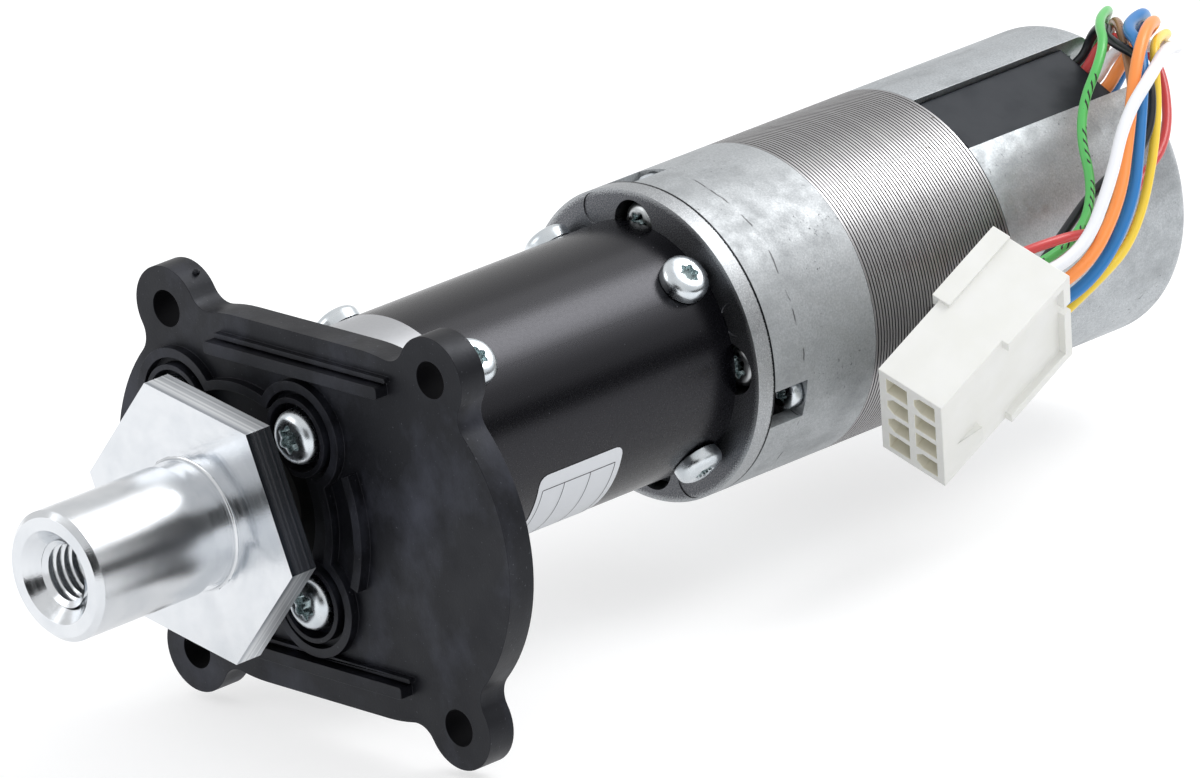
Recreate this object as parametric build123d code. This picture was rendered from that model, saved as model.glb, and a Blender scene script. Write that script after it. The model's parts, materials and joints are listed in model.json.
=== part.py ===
from build123d import *
from math import acos, atan2, cos, degrees, pi, radians, sin, sqrt, tan
import os

# Wheel motor: a brushless motor drives a hexagonal wheel hub through a two-stage planetary gearbox,
# and a moulded flange with four ears holds it. Millimetres, Z up, the drive axis along Y with the
# hub towards -Y. The origin is the centre of the four flange bolts, on the flange's front face.

os.makedirs("parts", exist_ok=True)

# Clearances
fit_gap = 0.05  # between a part and the seat that it is pressed or slid into
run_gap = 0.08  # round a shaft or pin that turns
gear_backlash = 0.08  # taken off each gear's tooth at the pitch circle

# Flange: a slot-shaped plate whose left arc is round the drive axis
axis_x = -10.5
flange_half_height = 23.2
flange_depth = 3.9
flange_web = 3.0
flange_rim = 2.2
ear_x = 22.75
ear_z = 21.75
ear_r = 5.3
ear_hole_r = 2.3
ear_root_r = 3.0
flange_bore_r = 11.0
pad_r = 15.2
pad_height = 1.2
pad_wall = 1.2
pad_screw_r = 6.9
screw_ring_height = 1.6
screw_ring_r = 4.95
screw_ring_wall = 0.65
bar_length = 29.8
bar_width = 1.55
bar_height = 1.9
bar_x = 0.3
upper_bar_z = 19.05
lower_bar_z = -18.55
lip_length = 29.6
lip_width = 0.6
lip_height = 0.9
lip_x = 1.0
lip_gap = 0.3
arc_rib_r = 19.8
arc_rib_width = 1.3
arc_rib_height = 1.5
arc_rib_half_angle = 21.0

# Wheel hub
hub_front_y = -31.75
hub_r = 8.1
hub_chamfer = 0.7
hex_front_y = -9.95
hex_flats = 30.5
hex_thickness = 3.9
hex_phase = -9.9
hub_groove_y = -14.6
hub_groove_width = 2.0
hub_groove_r = 7.6
hub_cove_r = 2.0
hub_tail_r = 6.4
hub_tail_length = 3.6
thread_r = 3.4
thread_depth = 13.0
hub_web = 3.0
thread_sink_r = 5.8

# Output shaft and its bearings
shaft_r = 4.0
shaft_end_r = 3.0
bearing_r = 8.0
bearing_width = 5.0
bearing_wall = 1.6
front_bearing_y = 4.5
rear_bearing_inset = 1.0
seal_width = 3.2
circlip_r = 5.4
circlip_width = 0.9

# Bearing housing
nose_r = flange_bore_r - fit_gap
nose_y = 0.6
foot_step = 2.3
foot_length = 6.0
shoulder_r = 6.6

# Gearbox tube
tube_r = 16.0
tube_wall = 1.25
tube_front_y = 24.0
tube_length = 41.5
spigot_length = 11.0
front_screw_inset = 2.5
rear_screw_inset = 3.4

# Planetary gears: both stages have the same teeth
ring_wall = 1.225
sun_teeth = 12
planet_teeth = 12
ring_teeth = 36
pressure_angle = 20.0
gear_addendum = 0.8
gear_dedendum = 1.25
ring_addendum = 0.55
planet_count = 3
carrier_clearance = 0.9
carrier_thickness = 2.9
carrier_gap = 1.0
planet_gap = 0.7
input_planet_gap = 0.5
pin_r = 1.25
pin_setback = 0.3
pin_overhang = 0.4
output_planet_width = 7.0
input_planet_width = 6.0
input_planet_inset = 1.5
output_planet_angle = 90.0
input_planet_angle = 30.0
sun_stub_r = 2.8

# Adapter plate
motor_r = 20.0
plate_thickness = 2.8
plate_spigot_length = 7.2
plate_spigot_bore_r = 9.6
plate_bore_r = 7.0
register_inset = 2.4
register_length = 2.0
access_inset = 4.55
access_hole_r = 3.25
ejector_inset = 2.4
ejector_mark_r = 2.1
ejector_depth = 0.15
ejector_angle = 21.7

# Motor shield
shield_length = 17.4
shield_wall = 2.0
shield_web_inset = 5.9
shield_web = 3.0
window_angle = -16.0
window_width = 5.1
window_length = 5.6
window_count = 3
post_r = 2.6
boss_r = 9.0
boss_length = 3.4
boss_bore_r = 4.6
motor_bearing_r = 6.5
motor_bearing_width = 5.0
motor_bearing_wall = 1.4

# Stator and rotor
stator_length = 24.7
slot_count = 6
tooth_phase = 14.0
yoke_wall = 4.0
tooth_width = 4.6
tooth_tip = 1.4
stator_bore_inset = 10.0
tip_half_angle = 24.0
coil_side = 2.0
coil_gap = 0.3
coil_yoke_gap = 0.7
coil_overhang = 3.2
motor_shaft_r = 2.0
magnet_thickness = 1.75
air_gap = 0.6
magnet_setback = 0.5
magnet_count = 4
magnet_gap_angle = 6.0
tie_bolt_r = 1.2
tie_bolt_inset = 2.5
tie_bolt_grip = 8.0
tie_head_r = 2.1
tie_head_height = 2.2

# Rear cover
cover_length = 32.0
cover_wall = 2.0
cover_end_wall = 2.8
cover_fillet = 3.0
cover_boss_r = 8.6
cover_ledge = 0.8
tie_boss_r = 2.5
board_inset = 4.8
board_thickness = 1.2
board_bore_r = 6.0
board_boss_gap = 0.3
lead_slot_angle = 63.3
lead_slot_width = 10.1
lead_slot_depth = 6.8
lead_cover_drop = 1.4
lead_cover_wall = 1.2
lead_cover_side = 3.0
lead_cover_front_inset = 0.8
lead_cover_rear_inset = 5.4
sleeve_floor_gap = 0.8
sleeve_rear_inset = 8.4

# Screws
m3_head_r = 2.8
m3_head_height = 2.0
radial_head_r = 3.1
radial_head_height = 2.2
m3_r = 1.45
m4_head_r = 3.5
m4_head_height = 2.2
m4_r = 1.9
drive_r = 1.25
drive_depth = 1.1
flange_screw_inset = 3.5
flange_screw_seat_y = 0.5
flange_screw_length = 7.0
radial_screw_length = 4.85
adapter_screw_length = 7.0
screw_hole_spare = 0.4
screw_clearance = 0.15

# Leads and their plug
power_lead_d = 1.6
signal_lead_d = 1.25
plug_x = 19.74
plug_y = 80.68
plug_z = -9.21
plug_width_dir = (0.890, 0.188, -0.415)
plug_height_dir = (0.454, -0.433, 0.779)
plug_width = 9.6
plug_height = 18.0
plug_length = 24.4
plug_pitch = 4.2
plug_cell = 3.1
plug_cell_depth = 13.0
plug_corner = 0.9
plug_rail = 1.0
plug_rail_height = 1.6
plug_rail_length = 12.3
plug_rail_rise = 0.5
plug_end_wall = 1.3
plug_end_gap = 1.6
latch_length = 4.0
latch_height = 3.0
latch_place = 2.6
terminal_size = 2.2
terminal_length = 8.0

# Places that follow from the sizes above
hex_rear_y = hex_front_y + hex_thickness
hub_tail_y = hex_rear_y + hub_tail_length
shaft_front_y = hub_front_y + thread_depth + hub_web
foot_rear_y = flange_web + foot_length
foot_r = tube_r + foot_step
flange_screw_r = foot_r - flange_screw_inset
tube_rear_y = tube_front_y + tube_length
tube_in_r = tube_r - tube_wall
spigot_r = tube_in_r - fit_gap
spigot_rear_y = tube_front_y + spigot_length
radial_hole_r = tube_r - radial_screw_length - screw_hole_spare
rear_bearing_y = spigot_rear_y - rear_bearing_inset - bearing_width
front_screw_y = tube_front_y + front_screw_inset
rear_screw_y = tube_rear_y - rear_screw_inset
plate_rear_y = tube_rear_y + plate_thickness
ring_rear_y = tube_rear_y - plate_spigot_length
register_rear_y = plate_rear_y + register_length
register_r = motor_r - register_inset
access_r = motor_r - access_inset
ejector_r = motor_r - ejector_inset
shield_web_y = plate_rear_y + shield_web_inset
shield_rear_y = plate_rear_y + shield_length
stator_rear_y = shield_rear_y + stator_length
cover_rear_y = stator_rear_y + cover_length
cover_inner_r = motor_r - cover_wall
cover_end_y = cover_rear_y - cover_end_wall
board_y = stator_rear_y + board_inset
board_rear_y = board_y + board_thickness
tie_bolt_place_r = motor_r - tie_bolt_inset
yoke_r = motor_r - yoke_wall
stator_bore_r = motor_r - stator_bore_inset
tooth_tip_r = stator_bore_r + tooth_tip
coil_in_r = tooth_tip_r + coil_gap
coil_out_r = yoke_r - coil_yoke_gap
magnet_r = stator_bore_r - air_gap
rotor_core_r = magnet_r - fit_gap - magnet_thickness
lead_slot_floor = motor_r - lead_slot_depth
lead_cover_top = motor_r - lead_cover_drop
lead_cover_low = lead_cover_top - lead_cover_side
lead_cover_front_y = stator_rear_y + lead_cover_front_inset
lead_cover_rear_y = cover_rear_y - lead_cover_rear_inset
sleeve_rear_y = cover_rear_y - sleeve_rear_inset
gear_module = (spigot_r - ring_wall) / (ring_teeth / 2 + gear_dedendum)
sun_pitch_r = gear_module * sun_teeth / 2
planet_pitch_r = gear_module * planet_teeth / 2
ring_pitch_r = gear_module * ring_teeth / 2
planet_place_r = sun_pitch_r + planet_pitch_r
ring_tip_r = ring_pitch_r - ring_addendum * gear_module
carrier_r = ring_tip_r - carrier_clearance
output_carrier_y = spigot_rear_y + carrier_gap
output_planet_y = output_carrier_y + carrier_thickness + planet_gap
input_planet_y = ring_rear_y - input_planet_inset - input_planet_width
input_carrier_y = input_planet_y - input_planet_gap - carrier_thickness
motor_shaft_front_y = input_planet_y + 0.2
motor_shaft_rear_y = cover_end_y - 1.2
rear_motor_bearing_y = cover_end_y - 1.6 - motor_bearing_width
front_motor_bearing_y = shield_web_y + shield_web - motor_bearing_width
quarter_angles = [0, 90, 180, 270]
diagonal_angles = [45, 135, 225, 315]
plug_origin = Vector(plug_x, plug_y, plug_z)
tie_angles = [window_angle + 360 / window_count * i for i in range(window_count)]


def save(shape, node, on_axis=True):
    """Writes one node; what is modelled round the drive axis is moved to its place."""
    moved = Pos(axis_x, 0, 0) * shape if on_axis else shape
    export_step(moved, f"parts/{node}.step")


def face_at(y):
    """A plane across the drive axis that is seen from the hub's side, with X right and Z up."""
    return Plane(origin=(0, y, 0), x_dir=(1, 0, 0), z_dir=(0, -1, 0))


def prism(sketch, y0, y1):
    return extrude(face_at(y0) * sketch, amount=y0 - y1)


def disc(radius, y0, y1):
    return prism(Circle(radius), y0, y1)


def ring(outer, inner, y0, y1):
    return prism(Circle(outer) - Circle(inner), y0, y1)


def turned(*points):
    """A solid of revolution round the drive axis, from (radius, y) points."""
    return revolve(make_face(Polyline(*points, close=True)), Axis.Y)


def around(angle):
    """Turns what lies on +X by an angle from X towards Z."""
    return Rot(0, -angle, 0)


def polar(radius, angle):
    return (radius * cos(radians(angle)), radius * sin(radians(angle)))


def spots(radius, angles):
    return [Pos(*polar(radius, a)) for a in angles]


def involute(angle):
    return tan(angle) - angle


def gear_outline(teeth, tip_r, root_r, thinning, phase):
    """The face of an involute gear with a tooth centred at the phase angle."""
    pitch_r = gear_module * teeth / 2
    base_r = pitch_r * cos(radians(pressure_angle))
    half_pitch = pi / (2 * teeth) - thinning / (2 * pitch_r) + involute(radians(pressure_angle))
    low_r = max(base_r, root_r)
    steps = 3
    flank = []
    for i in range(steps + 1):
        r = low_r + (tip_r - low_r) * i / steps
        flank.append((r, half_pitch - involute(acos(min(1.0, base_r / r)))))
    if root_r < base_r:
        flank.insert(0, (root_r, half_pitch))
    points = []
    for tooth in range(teeth):
        centre = radians(phase) + 2 * pi * tooth / teeth
        for r, a in flank:
            points.append((r * cos(centre - a), r * sin(centre - a)))
        for r, a in reversed(flank):
            points.append((r * cos(centre + a), r * sin(centre + a)))
    return make_face(Polyline(*points, close=True))


def external_gear(teeth, bore_r, y0, y1, phase):
    pitch_r = gear_module * teeth / 2
    tip_r = pitch_r + gear_addendum * gear_module
    root_r = pitch_r - gear_dedendum * gear_module
    outline = gear_outline(teeth, tip_r, root_r, gear_backlash, phase)
    if bore_r:
        outline -= Circle(bore_r)
    return prism(outline, y0, y1)


def pan_head_screw(head_r, head_height, shank_r, length):
    """A pan-head screw along Z, its seat at 0, its head up and its shank down."""
    crown = head_height * 0.45
    dome_r = (head_r**2 + crown**2) / (2 * crown)
    middle = (head_r / 2, head_height - dome_r + sqrt(dome_r**2 - head_r**2 / 4))
    profile = Polyline((0, head_height), (0, -length), (shank_r, -length), (shank_r, 0), (head_r, 0), (head_r, head_height - crown))
    profile += ThreePointArc((head_r, head_height - crown), middle, (0, head_height))
    body = Rot(90, 0, 0) * revolve(make_face(profile), Axis.Y)
    return body - Pos(0, 0, head_height - drive_depth) * extrude(RegularPolygon(drive_r, 6), amount=drive_depth)


def facing_front(x, y, z):
    """The place of a screw whose head points towards the hub."""
    return Location(Plane(origin=(x, y, z), x_dir=(1, 0, 0), z_dir=(0, -1, 0)))


def facing_out(angle, radius, y):
    """The place of a screw whose head points away from the drive axis."""
    x, z = polar(radius, angle)
    return Location(Plane(origin=(x, y, z), x_dir=(0, 1, 0), z_dir=(cos(radians(angle)), 0, sin(radians(angle)))))


def radial_hole(angle, hole_r, r0, r1, y):
    return facing_out(angle, r0, y) * Cylinder(hole_r, r1 - r0, align=(Align.CENTER, Align.CENTER, Align.MIN))


def axial_holes(hole_r, place_r, angles, y0, y1):
    return prism(Sketch() + [s * Circle(hole_r) for s in spots(place_r, angles)], y0, y1)


# Flange, moulded in one piece with its ears, pads and ribs
def make_flange():
    ears = [(sx * ear_x, sz * ear_z) for sx in (-1, 1) for sz in (-1, 1)]
    slot = SlotCenterToCenter(-2 * axis_x, 2 * flange_half_height)
    outline = Sketch() + slot + [Pos(*e) * Circle(ear_r) for e in ears]
    corners = [v for v in outline.vertices() for e in ears if abs(sqrt((v.X - e[0]) ** 2 + (v.Y - e[1]) ** 2) - ear_r) < 0.01]
    outline = fillet(corners, ear_root_r)
    body = prism(outline, 0, flange_depth)
    dish = SlotCenterToCenter(-2 * axis_x, 2 * (flange_half_height - flange_rim))
    dish -= [Pos(*e) * Circle(ear_r) for e in ears]
    body -= prism(dish, flange_web, flange_depth)
    screw_spots = spots(flange_screw_r, diagonal_angles)
    ridge = Sketch() + Circle(pad_r) + [s * Circle(pad_screw_r) for s in screw_spots]
    ridge -= Sketch() + Circle(pad_r - pad_wall) + [s * Circle(pad_screw_r - pad_wall) for s in screw_spots]
    body += Pos(axis_x, 0, 0) * prism(ridge, -pad_height, 0)
    body += Pos(axis_x, 0, 0) * axial_holes(screw_ring_r, flange_screw_r, diagonal_angles, -screw_ring_height, 0)
    lip_rise = bar_width / 2 + lip_gap + lip_width / 2
    for z in (upper_bar_z, lower_bar_z):
        body += Pos(bar_x, 0, z) * prism(RectangleRounded(bar_length, bar_width, bar_width / 4), -bar_height, 0)
        body += Pos(lip_x, 0, z + lip_rise) * prism(SlotOverall(lip_length, lip_width), -lip_height, 0)
    rib = Circle(arc_rib_r + arc_rib_width / 2) - Circle(arc_rib_r - arc_rib_width / 2)
    reach = arc_rib_r * 2
    wedge = make_face(Polyline((0, 0), polar(reach, -arc_rib_half_angle), polar(reach, arc_rib_half_angle), close=True))
    body += Pos(axis_x, 0, 0) * prism(rib & wedge, -arc_rib_height, 0)
    body -= Pos(axis_x, 0, 0) * disc(flange_bore_r, -screw_ring_height, flange_web)
    recess_r = screw_ring_r - screw_ring_wall
    body -= Pos(axis_x, 0, 0) * axial_holes(recess_r, flange_screw_r, diagonal_angles, -screw_ring_height, flange_screw_seat_y)
    body -= Pos(axis_x, 0, 0) * axial_holes(m4_r + screw_clearance, flange_screw_r, diagonal_angles, 0, flange_web)
    for x, z in ears:
        body -= Pos(x, 0, z) * disc(ear_hole_r, 0, flange_depth)
    return body


save(make_flange(), "flange", on_axis=False)

flange_screw = pan_head_screw(m4_head_r, m4_head_height, m4_r, flange_screw_length)
save(
    Compound([facing_front(x, flange_screw_seat_y, z) * flange_screw for x, z in [polar(flange_screw_r, a) for a in diagonal_angles]]),
    "flange_screws",
)


# Wheel hub, turned and milled from one bar
def make_hub():
    body = turned(
        (0, hub_front_y),
        (hub_r - hub_chamfer, hub_front_y),
        (hub_r, hub_front_y + hub_chamfer),
        (hub_r, hub_groove_y),
        (hub_groove_r, hub_groove_y),
        (hub_groove_r, hub_groove_y + hub_groove_width),
        (hub_r, hub_groove_y + hub_groove_width),
        (hub_r, hex_rear_y),
        (hub_tail_r, hex_rear_y),
        (hub_tail_r, hub_tail_y),
        (0, hub_tail_y),
    )
    hexagon = RegularPolygon(hex_flats / 2, 6, major_radius=False)
    body += prism(Rot(0, 0, hex_phase) * hexagon, hex_front_y, hex_rear_y)
    rings = body.edges().filter_by(GeomType.CIRCLE)
    root = rings.filter_by(lambda e: abs(e.center().Y - hex_front_y) < 0.01 and abs(e.radius - hub_r) < 0.01)
    body = fillet(root, hub_cove_r)
    sink = thread_sink_r - thread_r
    body -= turned((0, hub_front_y), (thread_sink_r, hub_front_y), (thread_r, hub_front_y + sink), (0, hub_front_y + sink))
    body -= disc(thread_r, hub_front_y, hub_front_y + thread_depth)
    body -= disc(shaft_r, shaft_front_y, hub_tail_y)
    return body


save(make_hub(), "wheel_hub")

# Output shaft, its circlip, seal and two shielded bearings
circlip_y = front_bearing_y + bearing_width + 0.1
output_shaft = disc(shaft_r - fit_gap, shaft_front_y, output_carrier_y)
output_shaft += disc(shaft_end_r, output_carrier_y, output_carrier_y + carrier_thickness)
output_shaft -= ring(shaft_r, shaft_r - 0.6, circlip_y, circlip_y + circlip_width)
save(output_shaft, "output_shaft")

circlip_gap = Pos(0, 0, -circlip_r) * Box(2.4, 20 * circlip_width, 2 * circlip_r)
save(ring(circlip_r, shaft_r - 0.6, circlip_y, circlip_y + circlip_width) - circlip_gap, "shaft_circlip")

save(ring(bearing_r, shaft_r + run_gap, front_bearing_y - 0.2 - seal_width, front_bearing_y - 0.2), "shaft_seal")


def bearing_rings(outer_r, inner_r, wall, width, starts):
    """The outer rings with their shields, and the inner rings, of like bearings on the drive axis."""
    outers = []
    inners = []
    for y in starts:
        inner_out_r = inner_r + wall
        shield = 0.5
        race = ring(outer_r - fit_gap, outer_r - wall, y, y + width)
        for y0 in (y + 0.2, y + width - 0.2 - shield):
            race += ring(outer_r - wall, inner_out_r + run_gap, y0, y0 + shield)
        outers.append(race)
        inners.append(ring(inner_out_r, inner_r, y, y + width))
    return Compound(outers), Compound(inners)


outer_rings, inner_rings = bearing_rings(bearing_r, shaft_r, bearing_wall, bearing_width, [front_bearing_y, rear_bearing_y])
save(outer_rings, "output_bearing_outer_rings")
save(inner_rings, "output_bearing_inner_rings")


# Bearing housing: nose in the flange's bore, foot for the flange screws, spigot in the tube
def make_bearing_housing():
    body = turned(
        (bearing_r, nose_y),
        (nose_r, nose_y),
        (nose_r, flange_web),
        (foot_r, flange_web),
        (foot_r, foot_rear_y),
        (tube_r, foot_rear_y),
        (tube_r, tube_front_y),
        (spigot_r, tube_front_y),
        (spigot_r, spigot_rear_y),
        (bearing_r, spigot_rear_y),
        (bearing_r, rear_bearing_y),
        (shoulder_r, rear_bearing_y),
        (shoulder_r, front_bearing_y + bearing_width),
        (bearing_r, front_bearing_y + bearing_width),
    )
    screw_end_y = flange_screw_seat_y + flange_screw_length + screw_hole_spare
    body -= axial_holes(m4_r + fit_gap, flange_screw_r, diagonal_angles, flange_web, screw_end_y)
    for a in diagonal_angles:
        body -= radial_hole(a, m3_r + fit_gap, radial_hole_r, tube_in_r, front_screw_y)
    return body


save(make_bearing_housing(), "bearing_housing")

# Gearbox tube and the eight screws through its wall
tube = ring(tube_r, tube_in_r, tube_front_y, tube_rear_y)
for angle in diagonal_angles:
    for y in (front_screw_y, rear_screw_y):
        tube -= radial_hole(angle, m3_r + screw_clearance, tube_in_r - tube_wall, tube_r + tube_wall, y)
save(tube, "gearbox_tube")

radial_screw = pan_head_screw(radial_head_r, radial_head_height, m3_r, radial_screw_length)
for node, y in (("front_radial_screws", front_screw_y), ("rear_radial_screws", rear_screw_y)):
    save(Compound([facing_out(a, tube_r, y) * radial_screw for a in diagonal_angles]), node)

# Ring gear, one long gear for both stages
ring_space = gear_outline(
    ring_teeth,
    ring_pitch_r + gear_dedendum * gear_module,
    ring_tip_r,
    -gear_backlash,
    180 / ring_teeth,
)
save(prism(Circle(spigot_r) - ring_space, spigot_rear_y, ring_rear_y), "ring_gear")


# Planet stages: a carrier, its pins, a sun and three planets
def planet_angles(first):
    return [first + 360 / planet_count * i for i in range(planet_count)]


def make_carrier(y, bore_r, first_angle):
    body = ring(carrier_r, bore_r, y, y + carrier_thickness)
    return body - axial_holes(pin_r + fit_gap, planet_place_r, planet_angles(first_angle), y, y + carrier_thickness)


def make_pins(carrier_y, gears_y, gear_width, first_angle):
    y0 = carrier_y + pin_setback
    y1 = gears_y + gear_width + pin_overhang
    return Compound([Pos(x, 0, z) * disc(pin_r, y0, y1) for x, z in [polar(planet_place_r, a) for a in planet_angles(first_angle)]])


save(make_carrier(output_carrier_y, shaft_end_r + fit_gap, output_planet_angle), "output_carrier")
save(make_pins(output_carrier_y, output_planet_y, output_planet_width, output_planet_angle), "output_carrier_pins")
save(make_carrier(input_carrier_y, sun_stub_r + fit_gap, input_planet_angle), "input_carrier")
save(make_pins(input_carrier_y, input_planet_y, input_planet_width, input_planet_angle), "input_carrier_pins")

planet_phase = 180 / planet_teeth
for stage, y, width, first in (
    ("output", output_planet_y, output_planet_width, output_planet_angle),
    ("input", input_planet_y, input_planet_width, input_planet_angle),
):
    for i, angle in enumerate(planet_angles(first)):
        x, z = polar(planet_place_r, angle)
        planet = external_gear(planet_teeth, pin_r + run_gap, y, y + width, planet_phase)
        save(Pos(x, 0, z) * planet, f"{stage}_planet_{i + 1}")

output_sun = external_gear(sun_teeth, 0, output_planet_y + 0.2, output_planet_y + output_planet_width, 0)
output_sun += disc(sun_stub_r, output_planet_y + output_planet_width, input_carrier_y + carrier_thickness)
save(output_sun, "output_sun")
save(external_gear(sun_teeth, motor_shaft_r + fit_gap, motor_shaft_front_y, input_planet_y + input_planet_width + 0.4, 0), "motor_pinion")


# Adapter plate: spigot in the tube, plate against the motor, register inside the shield
def make_adapter_plate():
    body = turned(
        (plate_spigot_bore_r, ring_rear_y),
        (spigot_r, ring_rear_y),
        (spigot_r, tube_rear_y),
        (motor_r, tube_rear_y),
        (motor_r, plate_rear_y),
        (register_r, plate_rear_y),
        (register_r, register_rear_y),
        (plate_bore_r, register_rear_y),
        (plate_bore_r, tube_rear_y),
        (plate_spigot_bore_r, tube_rear_y),
    )
    body -= axial_holes(access_hole_r, access_r, quarter_angles, ring_rear_y, plate_rear_y)
    body -= axial_holes(m3_r + screw_clearance, access_r, quarter_angles, plate_rear_y, register_rear_y)
    marks = [ejector_angle + a for a in quarter_angles]
    body -= axial_holes(ejector_mark_r, ejector_r, marks, tube_rear_y, tube_rear_y + ejector_depth)
    for a in diagonal_angles:
        body -= radial_hole(a, m3_r + fit_gap, radial_hole_r, tube_in_r, rear_screw_y)
    return body


save(make_adapter_plate(), "adapter_plate")

adapter_screw = pan_head_screw(m3_head_r, m3_head_height, m3_r, adapter_screw_length)
save(
    Compound([facing_front(x, plate_rear_y, z) * adapter_screw for x, z in [polar(access_r, a) for a in quarter_angles]]),
    "adapter_screws",
)


# Motor shield: ring with three windows, web with the front bearing seat, posts and bolt bosses
def make_motor_shield():
    inner_r = motor_r - shield_wall
    body = ring(motor_r, inner_r, plate_rear_y, shield_rear_y)
    body += disc(inner_r, shield_web_y, shield_web_y + shield_web)
    boss_y = shield_web_y - boss_length
    post_hole_y = plate_rear_y + adapter_screw_length + screw_hole_spare
    body += disc(boss_r, boss_y, shield_web_y)
    body += axial_holes(post_r, access_r, quarter_angles, register_rear_y, shield_web_y)
    bolt_posts = axial_holes(tie_boss_r, tie_bolt_place_r, tie_angles, shield_web_y, shield_rear_y)
    body += bolt_posts & disc(motor_r, shield_web_y, shield_rear_y)
    body -= ring(motor_r - shield_wall, register_r, plate_rear_y, plate_rear_y + fit_gap)
    body -= disc(boss_bore_r, boss_y, shield_web_y)
    body -= disc(motor_bearing_r, front_motor_bearing_y, shield_web_y + shield_web)
    body -= axial_holes(m3_r + fit_gap, access_r, quarter_angles, register_rear_y, post_hole_y)
    body -= axial_holes(tie_head_r + screw_clearance, tie_bolt_place_r, tie_angles, register_rear_y, shield_web_y)
    body -= axial_holes(tie_bolt_r + fit_gap, tie_bolt_place_r, tie_angles, shield_web_y, shield_rear_y)
    window = Pos(motor_r, plate_rear_y + window_length / 2, 0) * Box(3 * shield_wall, window_length, window_width)
    for a in tie_angles:
        body -= around(a) * window
    return body


save(make_motor_shield(), "motor_shield")


# Stator core: toothed lamination stack
def make_stator_core():
    teeth = Sketch()
    for i in range(slot_count):
        a = tooth_phase + 360 / slot_count * i
        tooth_length = yoke_r + yoke_wall / 2 - stator_bore_r
        shank = Rot(0, 0, a) * Pos(stator_bore_r + tooth_length / 2, 0) * Rectangle(tooth_length, tooth_width)
        wedge = make_face(Polyline((0, 0), polar(2 * yoke_r, a - tip_half_angle), polar(2 * yoke_r, a + tip_half_angle), close=True))
        teeth += shank
        teeth += wedge & Circle(tooth_tip_r)
    profile = (Circle(motor_r) - Circle(yoke_r)) + teeth - Circle(stator_bore_r)
    body = prism(profile, shield_rear_y, stator_rear_y)
    return body - axial_holes(tie_bolt_r + fit_gap, tie_bolt_place_r, tie_angles, shield_rear_y, stator_rear_y)


save(make_stator_core(), "stator_core")

# Windings: one coil round each tooth
coil_mid_y = (shield_rear_y + stator_rear_y) / 2
coil = Box(coil_out_r - coil_in_r, stator_length + 2 * coil_overhang, tooth_width + 2 * coil_side)
coil = fillet(coil.edges().filter_by(Axis.X), coil_side * 0.8)
coil -= Box(2 * coil_out_r, stator_length + 2 * fit_gap, tooth_width + 2 * fit_gap)
coil = Pos((coil_in_r + coil_out_r) / 2, coil_mid_y, 0) * coil
save(Compound([around(tooth_phase + 360 / slot_count * i) * coil for i in range(slot_count)]), "stator_windings")

# Rotor: shaft, core and magnets, carried by two shielded bearings
save(disc(motor_shaft_r, motor_shaft_front_y, motor_shaft_rear_y), "motor_shaft")
save(ring(rotor_core_r, motor_shaft_r + fit_gap, shield_rear_y, stator_rear_y), "rotor_core")

magnet_span = 360 / magnet_count - magnet_gap_angle
magnet_wedge = make_face(
    Polyline((0, 0), polar(2 * magnet_r, -magnet_span / 2), polar(2 * magnet_r, 0), polar(2 * magnet_r, magnet_span / 2), close=True)
)
magnet = prism((Circle(magnet_r) - Circle(rotor_core_r + fit_gap)) & magnet_wedge, shield_rear_y + magnet_setback, stator_rear_y - magnet_setback)
save(Compound([around(360 / magnet_count * i) * magnet for i in range(magnet_count)]), "rotor_magnets")

outer_rings, inner_rings = bearing_rings(
    motor_bearing_r, motor_shaft_r, motor_bearing_wall, motor_bearing_width, [front_motor_bearing_y, rear_motor_bearing_y]
)
save(outer_rings, "motor_bearing_outer_rings")
save(inner_rings, "motor_bearing_inner_rings")

# Three long bolts clamp shield, stator and rear cover
tie_bolt = pan_head_screw(tie_head_r, tie_head_height, tie_bolt_r, stator_rear_y + tie_bolt_grip - shield_web_y)
save(
    Compound([facing_front(x, shield_web_y, z) * tie_bolt for x, z in [polar(tie_bolt_place_r, a) for a in tie_angles]]),
    "tie_bolts",
)

# Sensor board behind the windings
board = ring(cover_inner_r - fit_gap, board_bore_r, board_y, board_rear_y)
board -= axial_holes(tie_boss_r + board_boss_gap, tie_bolt_place_r, tie_angles, board_y, board_rear_y)


def lead_slot_box(width, low, high, y0, y1):
    """A box in the lead slot: its width across the slot, low and high from the drive axis."""
    block = Pos((low + high) / 2, (y0 + y1) / 2, 0) * Box(high - low, y1 - y0, width)
    return around(lead_slot_angle) * block


save(board - lead_slot_box(lead_slot_width, lead_slot_floor, motor_r, board_y, board_rear_y), "sensor_board")


# Rear cover: die-cast can with the rear bearing seat, bolt bosses and the lead slot
def make_rear_cover():
    shell = fillet(disc(motor_r, stator_rear_y, cover_rear_y).edges().group_by(Axis.Y)[-1], cover_fillet)
    shell -= disc(cover_inner_r, stator_rear_y, board_rear_y)
    shell -= disc(cover_inner_r - cover_ledge, board_rear_y, cover_end_y)
    shell += disc(cover_boss_r, rear_motor_bearing_y, cover_end_y)
    shell -= disc(motor_bearing_r, rear_motor_bearing_y, rear_motor_bearing_y + motor_bearing_width)
    shell -= disc(motor_shaft_r + 2.0, rear_motor_bearing_y, cover_end_y)
    bosses = axial_holes(tie_boss_r, tie_bolt_place_r, tie_angles, stator_rear_y, stator_rear_y + tie_bolt_grip + 2.0)
    shell += bosses & disc(motor_r - 0.5, stator_rear_y, cover_end_y)
    shell -= axial_holes(tie_bolt_r + fit_gap, tie_bolt_place_r, tie_angles, stator_rear_y, stator_rear_y + tie_bolt_grip + 0.5)
    return shell - lead_slot_box(lead_slot_width, lead_slot_floor, motor_r + 1, stator_rear_y, cover_rear_y)


save(make_rear_cover(), "rear_cover")

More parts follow.
